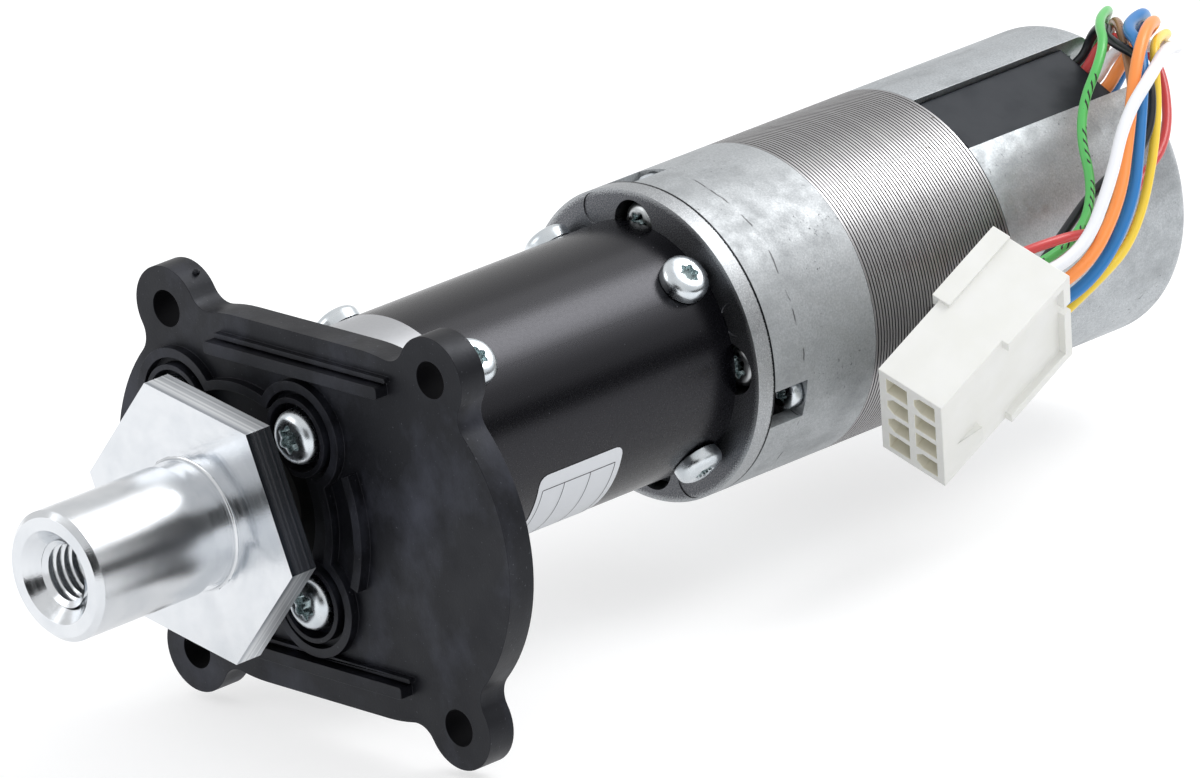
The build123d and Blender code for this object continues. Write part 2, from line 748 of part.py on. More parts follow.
# Lead cover: a channel in the slot, with a moulded sleeve under it that the leads come out of
channel_width = lead_slot_width - 2 * fit_gap
channel = lead_slot_box(channel_width, lead_cover_low, lead_cover_top, lead_cover_front_y, lead_cover_rear_y)
channel -= lead_slot_box(
    channel_width - 2 * lead_cover_wall, lead_slot_floor, lead_cover_top - lead_cover_wall, lead_cover_front_y, lead_cover_rear_y
)
save(channel, "lead_cover")
sleeve_width = channel_width - 2 * lead_cover_wall - 2 * fit_gap
save(lead_slot_box(sleeve_width, lead_slot_floor + sleeve_floor_gap, lead_cover_top - lead_cover_wall, board_rear_y, sleeve_rear_y), "lead_sleeve")


# Plug: a housing of two rows of four cells, with rails at its rear half
plug_plane = Plane(origin=plug_origin, x_dir=plug_width_dir, z_dir=plug_height_dir)
plug_frame = Location(plug_plane)
plug_cells = [(plug_pitch * (i - 0.5), plug_pitch * (1.5 - j)) for j in range(4) for i in range(2)]


def plug_box(x, y0, y1, z, width, height):
    """A box in the plug's own frame, which has its front face at 0 and its leads towards +Y."""
    return plug_frame * Pos(x, (y0 + y1) / 2, z) * Box(width, y1 - y0, height)


def plug_cell_face(column, row):
    """A cell's outline: the corner cells of the left column and the middle ones of the right are square."""
    cell = Rectangle(plug_cell, plug_cell)
    if (row in (0, 3)) == (column == 0):
        return cell
    return chamfer(cell.vertices().group_by(Axis.X)[0], plug_corner)


def make_plug_housing():
    body = plug_box(0, 0, plug_length, 0, plug_width, plug_height)
    rail_front = plug_length - plug_rail_length
    rail_x = (plug_width + plug_rail) / 2
    rail_z = (plug_height - plug_rail_height) / 2
    for side in (-1, 1):
        for level in (-1, 1):
            body += plug_box(side * rail_x, rail_front, plug_length, level * rail_z, plug_rail, plug_rail_height)
    rise_x = -(plug_width - plug_rail_height) / 2 - plug_rail
    rise_z = (plug_height + plug_rail_rise) / 2
    body += plug_box(rise_x + plug_rail / 2, rail_front, plug_length, rise_z, plug_rail_height + plug_rail, plug_rail_rise)
    end = plug_box(rail_x, plug_length - plug_end_wall, plug_length, 0, plug_rail, plug_height)
    end -= plug_box(rail_x, plug_length - plug_end_wall, plug_length, plug_pitch / 2, plug_rail, plug_end_gap)
    body += end
    ramp = make_face(Polyline((0, 0), (latch_length, 0), (latch_length, plug_rail), close=True))
    ramp = extrude(ramp, amount=latch_height / 2, both=True)
    body += plug_frame * Pos(plug_width / 2, latch_place, -plug_pitch) * Rot(0, 0, 90) * Rot(180, 0, 0) * ramp
    front = Plane(origin=(0, 0, 0), x_dir=(1, 0, 0), z_dir=(0, -1, 0))
    for column in range(2):
        for row in range(4):
            x, z = plug_cells[2 * row + column]
            body -= plug_frame * Pos(x, 0, z) * extrude(front * plug_cell_face(column, row), amount=-plug_cell_depth)
    return body


save(make_plug_housing(), "plug_housing", on_axis=False)
terminals = [
    plug_box(x, plug_cell_depth - terminal_length, plug_cell_depth, z, terminal_size, terminal_size)
    - plug_box(x, plug_cell_depth - terminal_length, plug_cell_depth - 1, z, terminal_size - 0.8, terminal_size - 0.8)
    for x, z in plug_cells
]
save(Compound(terminals), "plug_terminals", on_axis=False)


# Leads: straight runs joined by arcs, each from the sleeve's rear face to its place on the plug's rear face
lead_paths = {
    "white": (
        power_lead_d,
        [(-2.2, 134, 14.3), (-2.2, 137.7, 14.3), (-1.9, 143, 19.5), (10.2, 146.4, 18.6), (13.7, 136.6, 23.2),
         (16.5, 128.7, 21.8), (19, 121.4, 18.2), (22.8, 114.4, 13.1), (26.1, 105.5, 7), (25.3, 99.9, 6.3)],
    ),
    "orange": (
        power_lead_d,
        [(-0.5, 134, 13.4), (-0.5, 137.8, 13.4), (-0.2, 142.3, 17.9), (8.4, 141.1, 24), (11.2, 134.4, 25.8),
         (14.3, 128.6, 22.3), (17.5, 123.5, 15.3), (21.5, 117.5, 9.7), (24.5, 107.6, 3.9), (23.4, 101.7, 3)],
    ),
    "blue": (
        power_lead_d,
        [(-1.3, 134, 11.8), (-1.3, 139, 11.8), (-2.8, 147.2, 17.8), (4.3, 145.4, 23), (5.1, 136, 24.9),
         (12.5, 132.5, 23), (17.2, 125.9, 15.7), (21.2, 119.9, 8.1), (22.6, 109.8, 0.6), (21.5, 103.5, -0.2)],
    ),
    "yellow": (
        signal_lead_d,
        [(-3, 134, 12.7), (-3, 140.2, 12.7), (-5, 148.7, 15.5), (5.8, 150.6, 19.1), (7.7, 140.3, 21.8),
         (11, 135.7, 22.4), (15.4, 130.8, 13.6), (19.3, 122.5, 3.6), (20.5, 112.6, -0.4), (19.6, 105.3, -3.5)],
    ),
    "red": (
        signal_lead_d,
        [(-4, 134, 15.1), (-4, 137.8, 15.1), (-3.5, 142.3, 20.4), (1.3, 146.7, 16.9), (10, 138.5, 9.4),
         (12.2, 130, 6.7), (16.5, 123.1, 4.7), (20.1, 115.3, 5.5), (23.5, 106.2, 9.1), (21.5, 99.1, 8.1)],
    ),
    "green": (
        signal_lead_d,
        [(-6.5, 134, 14.4), (-6.5, 139.2, 14.4), (-5.9, 144.5, 20.9), (-0.9, 140.4, 24.1), (3.7, 133.5, 25.6),
         (9.5, 128.5, 23.9), (11.8, 120.2, 17.6), (18.5, 116.2, 9.9), (21.2, 108.1, 5.8), (19.6, 100.9, 4.8)],
    ),
    "black": (
        signal_lead_d,
        [(-5.7, 134, 16), (-5.7, 139.5, 16), (-4.5, 141, 20.8), (1.3, 138.4, 22.6), (4.7, 132.7, 23.5),
         (12.3, 133.3, 21.2), (16.9, 128.6, 13.7), (16.6, 118.7, 10.7), (17.6, 109.2, 5.3), (17.7, 102.7, 1.5)],
    ),
    "brown": (
        signal_lead_d,
        [(-4.8, 134, 13.6), (-4.8, 140.3, 13.6), (-4.9, 144.5, 19.9), (0.8, 140.1, 23.3), (5.8, 135.3, 23.1),
         (11.9, 131.6, 18.1), (15.7, 126.3, 12.1), (16.9, 119.4, 6.7), (15.8, 110.8, 2), (15.8, 104.5, -1.8)],
    ),
}


def lead_radii(points):
    """The arc at each inner point: 0.45 of the shorter run beside it goes to the arc."""
    radii = []
    for a, b, c in zip(points, points[1:], points[2:]):
        before = Vector(*b) - Vector(*a)
        after = Vector(*c) - Vector(*b)
        turn = radians(before.get_angle(after))
        radii.append(0.45 * min(before.length, after.length) / tan(turn / 2))
    return radii


for colour, (diameter, points) in lead_paths.items():
    radii = lead_radii(points)
    print(colour, "lead: least bend radius", round(min(radii), 1), "mm,", round(min(radii) / diameter, 1), "diameters")
    path = FilletPolyline(*points, radius=radii)
    start = Plane(origin=path @ 0, z_dir=path % 0)
    save(sweep(start * Circle(diameter / 2), path=path), f"{colour}_lead", on_axis=False)
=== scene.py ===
import json
from math import atan2, cos, hypot, pi, radians, sin
import bmesh
import bpy
from mathutils import Matrix, Vector


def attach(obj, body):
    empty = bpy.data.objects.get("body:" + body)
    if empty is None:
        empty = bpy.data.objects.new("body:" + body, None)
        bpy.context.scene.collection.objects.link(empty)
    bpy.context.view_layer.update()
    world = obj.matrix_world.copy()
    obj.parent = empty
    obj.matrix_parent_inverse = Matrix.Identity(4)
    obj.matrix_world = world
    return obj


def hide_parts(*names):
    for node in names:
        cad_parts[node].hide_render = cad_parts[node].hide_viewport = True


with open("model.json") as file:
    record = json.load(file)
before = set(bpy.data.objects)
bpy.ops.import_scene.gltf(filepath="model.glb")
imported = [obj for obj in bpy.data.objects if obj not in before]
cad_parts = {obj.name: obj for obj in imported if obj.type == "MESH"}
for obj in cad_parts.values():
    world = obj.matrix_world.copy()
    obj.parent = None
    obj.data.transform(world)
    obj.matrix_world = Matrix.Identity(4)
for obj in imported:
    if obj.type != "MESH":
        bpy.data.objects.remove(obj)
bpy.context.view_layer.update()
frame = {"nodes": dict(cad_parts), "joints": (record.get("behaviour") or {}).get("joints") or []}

# Studio: the motor lies on a white table in a white room, and a long lens looks at it from the hub's end
# and a little above. A softbox hangs high behind it, with a brighter core, and a weak one fills the front
# left. Two black cards at the far right and behind the camera show only in the metal, as its dark stripes.
scene = bpy.context.scene
scene.view_settings.view_transform = "Standard"
motor_middle = (0, 0.05, 0)
table_top = -0.0284  # a little under the flange's lower ears


def tree_of(name):
    """A new material and its node tree."""
    material = bpy.data.materials.new(name)
    material.use_nodes = True
    return material, material.node_tree


def seen_directly(tree):
    """1 for what the camera sees straight on, in a mirror or through glass, and else 0."""
    path = tree.nodes.new("ShaderNodeLightPath")
    total = path.outputs["Is Camera Ray"]
    for name in ("Is Glossy Ray", "Is Transmission Ray"):
        either = tree.nodes.new("ShaderNodeMath")
        either.operation = "MAXIMUM"
        tree.links.new(total, either.inputs[0])
        tree.links.new(path.outputs[name], either.inputs[1])
        total = either.outputs[0]
    return total


def stage_sheet(name, material, width, height, place, aim=None):
    """A flat sheet of the studio, lying down, or standing and facing a spot."""
    sheet = bmesh.new()
    bmesh.ops.create_grid(sheet, x_segments=1, y_segments=1, size=0.5)
    bmesh.ops.scale(sheet, vec=(width, height, 1), verts=sheet.verts)
    if aim:
        turned = (Vector(aim) - Vector(place)).to_track_quat("Z", "Y").to_matrix()
        bmesh.ops.rotate(sheet, cent=(0, 0, 0), matrix=turned, verts=sheet.verts)
    bmesh.ops.translate(sheet, verts=sheet.verts, vec=place)
    data = bpy.data.meshes.new(name)
    sheet.to_mesh(data)
    sheet.free()
    data.materials.append(material)
    shown = bpy.data.objects.new(name, data)
    scene.collection.objects.link(shown)


table_white, tree = tree_of("white_table")
table_shader = tree.nodes["Principled BSDF"]
table_shader.inputs["Roughness"].default_value = 0.9
table_shader.inputs["Specular IOR Level"].default_value = 0.0
seen = seen_directly(tree)
pale = tree.nodes.new("ShaderNodeMapRange")
pale.inputs["To Min"].default_value = 0.8
pale.inputs["To Max"].default_value = 0.48
tree.links.new(seen, pale.inputs["Value"])
tree.links.new(pale.outputs[0], table_shader.inputs["Base Color"])
glow = tree.nodes.new("ShaderNodeEmission")
level = tree.nodes.new("ShaderNodeMath")
level.operation = "MULTIPLY"
level.inputs[1].default_value = 0.6
both = tree.nodes.new("ShaderNodeAddShader")
tree.links.new(seen, level.inputs[0])
tree.links.new(level.outputs[0], glow.inputs["Strength"])
tree.links.new(table_shader.outputs[0], both.inputs[0])
tree.links.new(glow.outputs[0], both.inputs[1])
tree.links.new(both.outputs[0], tree.nodes["Material Output"].inputs["Surface"])
stage_sheet("table", table_white, width=6.0, height=6.0, place=(0, 0.05, table_top))

black_card, tree = tree_of("black_card")
tree.nodes["Principled BSDF"].inputs["Base Color"].default_value = (0.01, 0.01, 0.01, 1)
tree.nodes["Principled BSDF"].inputs["Roughness"].default_value = 1.0
clear = tree.nodes.new("ShaderNodeBsdfTransparent")
mirrored = tree.nodes.new("ShaderNodeLightPath")
chosen = tree.nodes.new("ShaderNodeMixShader")
tree.links.new(mirrored.outputs["Is Glossy Ray"], chosen.inputs[0])
tree.links.new(clear.outputs[0], chosen.inputs[1])
tree.links.new(tree.nodes["Principled BSDF"].outputs[0], chosen.inputs[2])
tree.links.new(chosen.outputs[0], tree.nodes["Material Output"].inputs["Surface"])
stage_sheet(
    "far_right_card", black_card, width=1.1, height=0.225, place=(0.62, 0.58, 0.085), aim=(0, 0.05, 0.085)
)
stage_sheet("camera_card", black_card, width=1.5, height=1.2, place=(1.3, -1.5, 0.575), aim=(0, 0, 0.575))

room = bpy.data.worlds.new("room")
room.use_nodes = True
scene.world = room
tree = room.node_tree
plain = tree.nodes["Background"]
plain.inputs["Color"].default_value = (0.97, 0.98, 1.0, 1)
plain.inputs["Strength"].default_value = 0.92
white = tree.nodes.new("ShaderNodeBackground")
white.inputs["Strength"].default_value = 1.0
chosen = tree.nodes.new("ShaderNodeMixShader")
tree.links.new(seen_directly(tree), chosen.inputs[0])
tree.links.new(plain.outputs[0], chosen.inputs[1])
tree.links.new(white.outputs[0], chosen.inputs[2])
tree.links.new(chosen.outputs[0], tree.nodes["World Output"].inputs["Surface"])


def soft_lamp(name, place, width, height, power):
    """A rectangular soft lamp that points at the middle of the motor."""
    lamp = bpy.data.lights.new(name, "AREA")
    lamp.shape = "RECTANGLE"
    lamp.size = width
    lamp.size_y = height
    lamp.energy = power
    shown = bpy.data.objects.new(name, lamp)
    shown.location = place
    shown.rotation_euler = (Vector(motor_middle) - Vector(place)).to_track_quat("-Z", "Y").to_euler()
    scene.collection.objects.link(shown)


soft_lamp("softbox", place=(0.15, 0.75, 0.8), width=1.1, height=0.8, power=2.6)
soft_lamp("softbox_core", place=(0.21, 0.7, 0.74), width=0.4, height=0.4, power=3.0)
soft_lamp("front_left", place=(-0.6, -0.7, 0.5), width=0.6, height=0.6, power=1.4)

camera = bpy.data.cameras.new("camera")
camera.sensor_width = 36.0
camera.lens = 402.918
camera.clip_end = 20.0
camera_object = bpy.data.objects.new("camera", camera)
camera_place = (1.1186873, -0.9923101, 0.5382050)
camera_right = Vector((0.6979602, 0.7122902, -0.0741233))
camera_up = Vector((-0.1883932, 0.2824840, 0.9405907))
camera_back = Vector((0.6909121, -0.6425305, 0.3313532))
turn = Matrix((camera_right, camera_up, camera_back)).transposed().to_4x4()
camera_object.matrix_world = Matrix.Translation(camera_place) @ turn
scene.collection.objects.link(camera_object)
scene.camera = camera_object

# Flange: one moulding of black glass-filled plastic with four ears, pads, two double ribs and an arc rib.
# Its edges are softly rounded, the face has lighter patches, partly flow streaks and wear and partly painted
# sheen, the ear hole walls are darker and matt as painted shade, and a gate nub stands on one ear.
axis_x = next(joint["pos_m"][0] for joint in frame["joints"] if joint["name"] == "wheel_spin")
axis_x_mm = 1000 * axis_x


def noise(tree, scale, detail=2.0, stretch=(1, 1, 1), rough=0.5):
    """Cloudy noise on the piece's own coordinates; a stretch above 1 squeezes it along that axis."""
    place = tree.nodes.new("ShaderNodeTexCoord")
    mapping = tree.nodes.new("ShaderNodeMapping")
    mapping.inputs["Scale"].default_value = stretch
    cloud = tree.nodes.new("ShaderNodeTexNoise")
    cloud.inputs["Scale"].default_value = scale
    cloud.inputs["Detail"].default_value = detail
    cloud.inputs["Roughness"].default_value = rough
    tree.links.new(place.outputs["Object"], mapping.inputs["Vector"])
    tree.links.new(mapping.outputs["Vector"], cloud.inputs["Vector"])
    return cloud.outputs[0]


def remap(tree, source, low, high, to_low, to_high):
    """Stretches the source's low..high to to_low..to_high, and holds it there."""
    stretched = tree.nodes.new("ShaderNodeMapRange")
    for name, value in (("From Min", low), ("From Max", high), ("To Min", to_low), ("To Max", to_high)):
        stretched.inputs[name].default_value = value
    tree.links.new(source, stretched.inputs["Value"])
    return stretched.outputs[0]


def work_out(tree, operation, first, second=0):
    """A Math node's result from one or two values, each a number or another node's output."""
    node = tree.nodes.new("ShaderNodeMath")
    node.operation = operation
    for socket, value in ((node.inputs[0], first), (node.inputs[1], second)):
        if isinstance(value, (int, float)):
            socket.default_value = value
        else:
            tree.links.new(value, socket)
    return node.outputs[0]


def blend_colours(tree, share, first, second):
    """A colour between two, each a colour or another node's output."""
    mix = tree.nodes.new("ShaderNodeMix")
    mix.data_type = "RGBA"
    tree.links.new(share, mix.inputs[0])
    for socket, colour in ((mix.inputs[6], first), (mix.inputs[7], second)):
        if isinstance(colour, tuple):
            socket.default_value = (*colour, 1)
        else:
            tree.links.new(colour, socket)
    return mix.outputs[2]


def relief(tree, height, depth, strength=1.0):
    """A bump of that depth in metres on the main shader."""
    bump = tree.nodes.new("ShaderNodeBump")
    bump.inputs["Strength"].default_value = strength
    bump.inputs["Distance"].default_value = depth
    tree.links.new(height, bump.inputs["Height"])
    tree.links.new(bump.outputs[0], tree.nodes["Principled BSDF"].inputs["Normal"])


def shade(name, colour, roughness, metallic=0.0, specular=0.5, gloss_tint=(1, 1, 1)):
    """A material with plain values on its main shader, and its node tree."""
    material, tree = tree_of(name)
    shader = tree.nodes["Principled BSDF"]
    shader.inputs["Base Color"].default_value = (*colour, 1)
    shader.inputs["Roughness"].default_value = roughness
    shader.inputs["Metallic"].default_value = metallic
    shader.inputs["Specular IOR Level"].default_value = specular
    shader.inputs["Specular Tint"].default_value = (*gloss_tint, 1)
    return material, tree


def paint(tree, tint):
    """Gives the main shader its colour from another node."""
    tree.links.new(tint, tree.nodes["Principled BSDF"].inputs["Base Color"])


def vary_roughness(tree, cloud, low, high):
    """Lets the main shader's roughness drift between two values with a noise."""
    drift = remap(tree, cloud, 0.35, 0.65, low, high)
    tree.links.new(drift, tree.nodes["Principled BSDF"].inputs["Roughness"])


def add_piece(name, mesh, materials, body, nodes=()):
    """Makes the mesh a piece that rides on a body and stands for CAD nodes."""
    data = bpy.data.meshes.new(name)
    mesh.to_mesh(data)
    mesh.free()
    for material in materials:
        data.materials.append(material)
    piece = bpy.data.objects.new(name, data)
    scene.collection.objects.link(piece)
    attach(piece, body)
    if nodes:
        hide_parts(*nodes)
    return piece


def merged_copy(node, whole_faces=True):
    """A node's mesh with its loose triangles joined and, if asked, its flat faces made whole."""
    mesh = bmesh.new()
    mesh.from_mesh(frame["nodes"][node].data)
    bmesh.ops.remove_doubles(mesh, verts=mesh.verts, dist=2e-6)
    if whole_faces:
        bmesh.ops.dissolve_limit(mesh, angle_limit=radians(0.8), verts=mesh.verts, edges=mesh.edges)
    return mesh


def smooth(mesh, sharp=32):
    """Smooth faces, with the edges sharper than the angle kept."""
    for face in mesh.faces:
        face.smooth = True
    for edge in mesh.edges:
        edge.smooth = len(edge.link_faces) != 2 or edge.calc_face_angle(0) < radians(sharp)


def round_edges(piece, width, segments=2):
    """Breaks the piece's sharp edges by a small radius."""
    bevel = piece.modifiers.new("edges", "BEVEL")
    bevel.width = width
    bevel.segments = segments
    bevel.limit_method = "ANGLE"
    bevel.angle_limit = radians(35)
    bevel.harden_normals = True


def metres(mesh):
    """Brings a mesh drawn in millimetres to metres."""
    bmesh.ops.scale(mesh, vec=(0.001, 0.001, 0.001), verts=mesh.verts)


flange_plastic, tree = shade(
    "glass_filled_plastic", (0.003, 0.003, 0.004), 0.48, specular=0.34, gloss_tint=(0.86, 0.9, 1.0)
)
# The lighter patches are partly flow streaks and wear and partly painted sheen.
streaks_and_sheen = remap(tree, noise(tree, 85, 6.0, (1, 1, 0.7), 0.6), 0.5, 0.74, 0, 1)
tint = blend_colours(tree, streaks_and_sheen, (0.0025, 0.0025, 0.004), (0.032, 0.034, 0.046))
speckle = remap(tree, noise(tree, 2600, 4.0), 0.66, 0.76, 0, 1)
tint = blend_colours(tree, speckle, tint, (0.06, 0.06, 0.07))
paint(tree, tint)
vary_roughness(tree, noise(tree, 150, 4.0), 0.4, 0.54)
relief(tree, noise(tree, 3000, 3.0), 0.00003, 0.5)

# Painted shade: the ear holes' walls get this darker, matt material.
ear_bore_painted_shade = shade("ear_bore_painted_shade", (0.002, 0.002, 0.003), 0.8, specular=0.08)[0]

ear_x = 0.02275
ear_z = 0.02175
ear_hole_r = 0.0023
mesh = merged_copy("flange")
# Faces on the ear holes' walls take the painted-shade material.
for face in mesh.faces:
    middle = face.calc_center_median()
    from_ear = hypot(abs(middle.x) - ear_x, abs(middle.z) - ear_z)
    if from_ear < ear_hole_r + 0.0002 and abs(face.normal.y) < 0.3:
        face.material_index = 1
smooth(mesh)
flange = add_piece(
    "flange_moulding", mesh, [flange_plastic, ear_bore_painted_shade], "housing", ["flange"]
)
round_edges(flange, 0.0005, 3)

nub_place = (-19.75, 2.5, 26.0)  # in millimetres, on the upper left ear's edge
nub_slant = Matrix.Rotation(radians(-38), 3, "Y")
mesh = bmesh.new()
bmesh.ops.create_uvsphere(mesh, u_segments=14, v_segments=8, radius=0.55)
bmesh.ops.scale(mesh, vec=(1.5, 0.8, 0.8), verts=mesh.verts)
for vert in mesh.verts:
    vert.co.z += 0.12 * sin(5 * vert.co.x) * cos(4 * vert.co.y)
bmesh.ops.rotate(mesh, cent=(0, 0, 0), matrix=nub_slant, verts=mesh.verts)
bmesh.ops.translate(mesh, vec=nub_place, verts=mesh.verts)
metres(mesh)
smooth(mesh, 60)
add_piece("gate_nub", mesh, [flange_plastic], "housing")

# Flange screws: four zinc-plated screws with domed heads and six-lobed sockets. They hold the flange on
# the bearing housing's foot, and each head sits in its ring.
def screw(mesh, place, head_r, head_height, shank_r, length, socket_r, depth, side):
    """One screw in millimetres, its head along the place's Z axis; side is the share of the head's height
    that its straight side takes up. Each ring is a radius, a height and how far its lobes stand out."""
    known = set(mesh.verts)
    flat = max(0.5 * head_r, 1.26 * socket_r)
    floor_r = 0.95 * socket_r
    tip_length = 0.4
    rings = [
        (shank_r * 0.75, -length, 0),
        (shank_r, tip_length - length, 0),
        (shank_r, 0, 0),
        (head_r * 0.96, 0, 0),
        (head_r, 0.12, 0),
    ]
    for step in range(6):
        angle = radians(18 * step)
        reach = flat + (head_r - flat) * cos(angle)
        rings.append((reach, head_height * (side + (1 - side) * sin(angle)), 0))
    rings.append((socket_r * 1.06, head_height * 0.99, 0.15))
    rings.append((socket_r, head_height * 0.93, 0.17))
    rings.append((floor_r, head_height - depth, 0.17))
    previous = None
    for radius, height, lobes in rings:
        circle = bmesh.ops.create_circle(mesh, segments=48, radius=radius)["verts"]
        for vert in circle:
            angle = atan2(vert.co.y, vert.co.x)
            vert.co *= 1 + lobes * cos(6 * angle)
            vert.co.z = height
        edges = list({edge for vert in circle for edge in vert.link_edges})
        if previous:
            walls = bmesh.ops.bridge_loops(mesh, edges=previous + edges)["faces"]
            # The socket's deep wall and floor take the second material, a painted shade.
            for face in walls:
                face.material_index = 1 if radius == floor_r else 0
        else:
            mesh.faces.new(circle)
        previous = edges
    mesh.faces.new(circle).material_index = 1
    made = [vert for vert in mesh.verts if vert not in known]
    bmesh.ops.transform(mesh, matrix=place, verts=made)


def facing(origin, forward):
    """The place of a piece whose Z axis points along forward."""
    return Matrix.Translation(origin) @ Vector(forward).to_track_quat("Z", "Y").to_matrix().to_4x4()


def span(node, axis):
    """Where a modelled node starts and ends along an axis, in millimetres."""
    places = [1000 * vert.co[axis] for vert in frame["nodes"][node].data.vertices]
    return min(places), max(places)


def round_the_axis(radius, y, angle):
    """A place in millimetres on a circle round the drive axis."""
    return Vector((axis_x_mm + radius * cos(radians(angle)), y, radius * sin(radians(angle))))


def screw_set(name, node, material, size, places):
    """A piece of equal screws for a node; each place is a seat, the head's direction and a turn about it."""
    mesh = bmesh.new()
    for seat, forward, turned in places:
        screw(mesh, facing(seat, forward) @ Matrix.Rotation(radians(turned), 4, "Z"), **size)
    bmesh.ops.recalc_face_normals(mesh, faces=mesh.faces)
    metres(mesh)
    smooth(mesh, 38)
    add_piece(name, mesh, [material, socket_shade], "housing", [node])


zinc, tree = shade("zinc_plate", (0.7, 0.74, 0.78), 0.28, 1.0)
vary_roughness(tree, noise(tree, 700, 3.0), 0.22, 0.34)
relief(tree, noise(tree, 5000, 2.0), 0.000006, 0.5)
dull = remap(tree, noise(tree, 400, 4.0), 0.4, 0.65, 0, 1)
paint(tree, blend_colours(tree, dull, (0.64, 0.69, 0.73), (0.74, 0.78, 0.81)))
# A darker, greener copy of the zinc, painted shade for the sockets' deep walls and floors.
socket_shade, tree = shade("socket_wall_painted_shade", (0.6, 0.67, 0.68), 0.25, 1.0)
vary_roughness(tree, noise(tree, 1500, 2.0), 0.16, 0.3)

flange_screw_place_r = 14.8
flange_screw = dict(head_r=3.4, head_height=3.1, shank_r=2.0, length=7.0, socket_r=1.5, depth=1.3, side=0.5)
seat_y = span("flange_screws", 1)[1] - flange_screw["length"]
to_front = (0, -1, 0)
diagonal_angles = (45, 135, 225, 315)
places = [
    (round_the_axis(flange_screw_place_r, seat_y, angle), to_front, 0.7 * angle) for angle in diagonal_angles
]
screw_set("flange_screw_set", "flange_screws", zinc, flange_screw, places)

# Wheel hub: aluminium, turned to a stub with a countersunk thread in its end, and milled to a hexagon.
# Faces carry fine turning marks, the hexagon's sides the mill's straight lines, and the thread is cut. The
# sides facing right are painted darker as shade, the others lighter as painted light.
def reach_from_axis(tree):
    """The distance from the drive axis and the place along it, in metres."""
    place = tree.nodes.new("ShaderNodeTexCoord")
    parts = tree.nodes.new("ShaderNodeSeparateXYZ")
    tree.links.new(place.outputs["Object"], parts.inputs[0])
    across = work_out(tree, "SUBTRACT", parts.outputs[0], axis_x)
    squares = [work_out(tree, "MULTIPLY", side, side) for side in (across, parts.outputs[2])]
    return work_out(tree, "SQRT", work_out(tree, "ADD", *squares)), parts.outputs[1]


def radius_noise(tree, scale, detail):
    """Noise that changes only with the distance from the drive axis."""
    cloud = tree.nodes.new("ShaderNodeTexNoise")
    cloud.noise_dimensions = "1D"
    cloud.inputs["Scale"].default_value = scale
    cloud.inputs["Detail"].default_value = detail
    tree.links.new(reach_from_axis(tree)[0], cloud.inputs["W"])
    return cloud.outputs[0]


stub_r = 0.0081
hub_metal, tree = shade("hub_aluminium", (0.71, 0.73, 0.755), 0.2, 1.0)
rings = radius_noise(tree, 1500, 3.0)
machined = remap(tree, rings, 0.35, 0.65, 0.15, 0.22)
from_stub = work_out(tree, "ABSOLUTE", work_out(tree, "SUBTRACT", reach_from_axis(tree)[0], stub_r))
roughness = work_out(tree, "ADD", machined, remap(tree, from_stub, 0.0001, 0.0002, 0.06, 0))
tree.links.new(roughness, tree.nodes["Principled BSDF"].inputs["Roughness"])
grain = work_out(tree, "ADD", noise(tree, 6500, 3.0), work_out(tree, "MULTIPLY", rings, 0.5))
relief(tree, grain, 0.000016, 0.6)
cloud = remap(tree, noise(tree, 260, 4.0), 0.4, 0.7, 0, 1)
paint(tree, blend_colours(tree, cloud, (0.73, 0.75, 0.775), (0.66, 0.685, 0.715)))


def milled(name, groove, land, roughness):
    """A milled side of the hexagon, with the cutter's straight lines, its coarseness and a painted lit or
    shaded tone.
    """
    material, tree = shade(name, land, roughness, 1.0)
    cuts = noise(tree, 1300, 1.0, (0.002, 1, 0.002))
    vary_roughness(tree, cuts, roughness, roughness + 0.1)
    paint(tree, blend_colours(tree, remap(tree, cuts, 0.4, 0.6, 0, 1), groove, land))
    fine = work_out(tree, "MULTIPLY", noise(tree, 3500, 3.0), 0.1)
    relief(tree, work_out(tree, "ADD", cuts, fine), 0.00005, 0.6)
    return material


# A darker copy for the sides facing right, as painted shade, and a lighter one for the others, as painted
# light.
shaded_smooth_side = milled("milled_smooth_side", (0.3, 0.33, 0.37), (0.7, 0.73, 0.77), 0.18)
lit_coarse_side = milled("milled_coarse_side", (0.5, 0.53, 0.57), (0.9, 0.92, 0.94), 0.42)

core_r = 0.0034  # the solid's plain hole, about as wide as the thread's crests
thread_root_r = 0.00408
hole_end_y = -0.0185  # the hole's floor lies in front of this
sink_zone_y = -0.028  # and the countersink in front of this
sink_shift = 0.0007  # the countersink's foot comes forward as the hole gets wider
groove = (-0.0133, -0.0106)
solid_groove = (-0.0146, -0.0126)
hex_front_y = -0.00995
cove_r = 0.002  # the round at the stub's foot in the solid
cove_share = 0.18  # how much of it stays
near = 0.0001


def off_axis(spot):
    """How far a point lies from the drive axis."""
    return hypot(spot.x - axis_x, spot.z)


def scale_from_axis(vert, factor):
    """Moves a point away from the drive axis, or nearer, by a factor."""
    vert.co.x = axis_x + (vert.co.x - axis_x) * factor
    vert.co.z *= factor


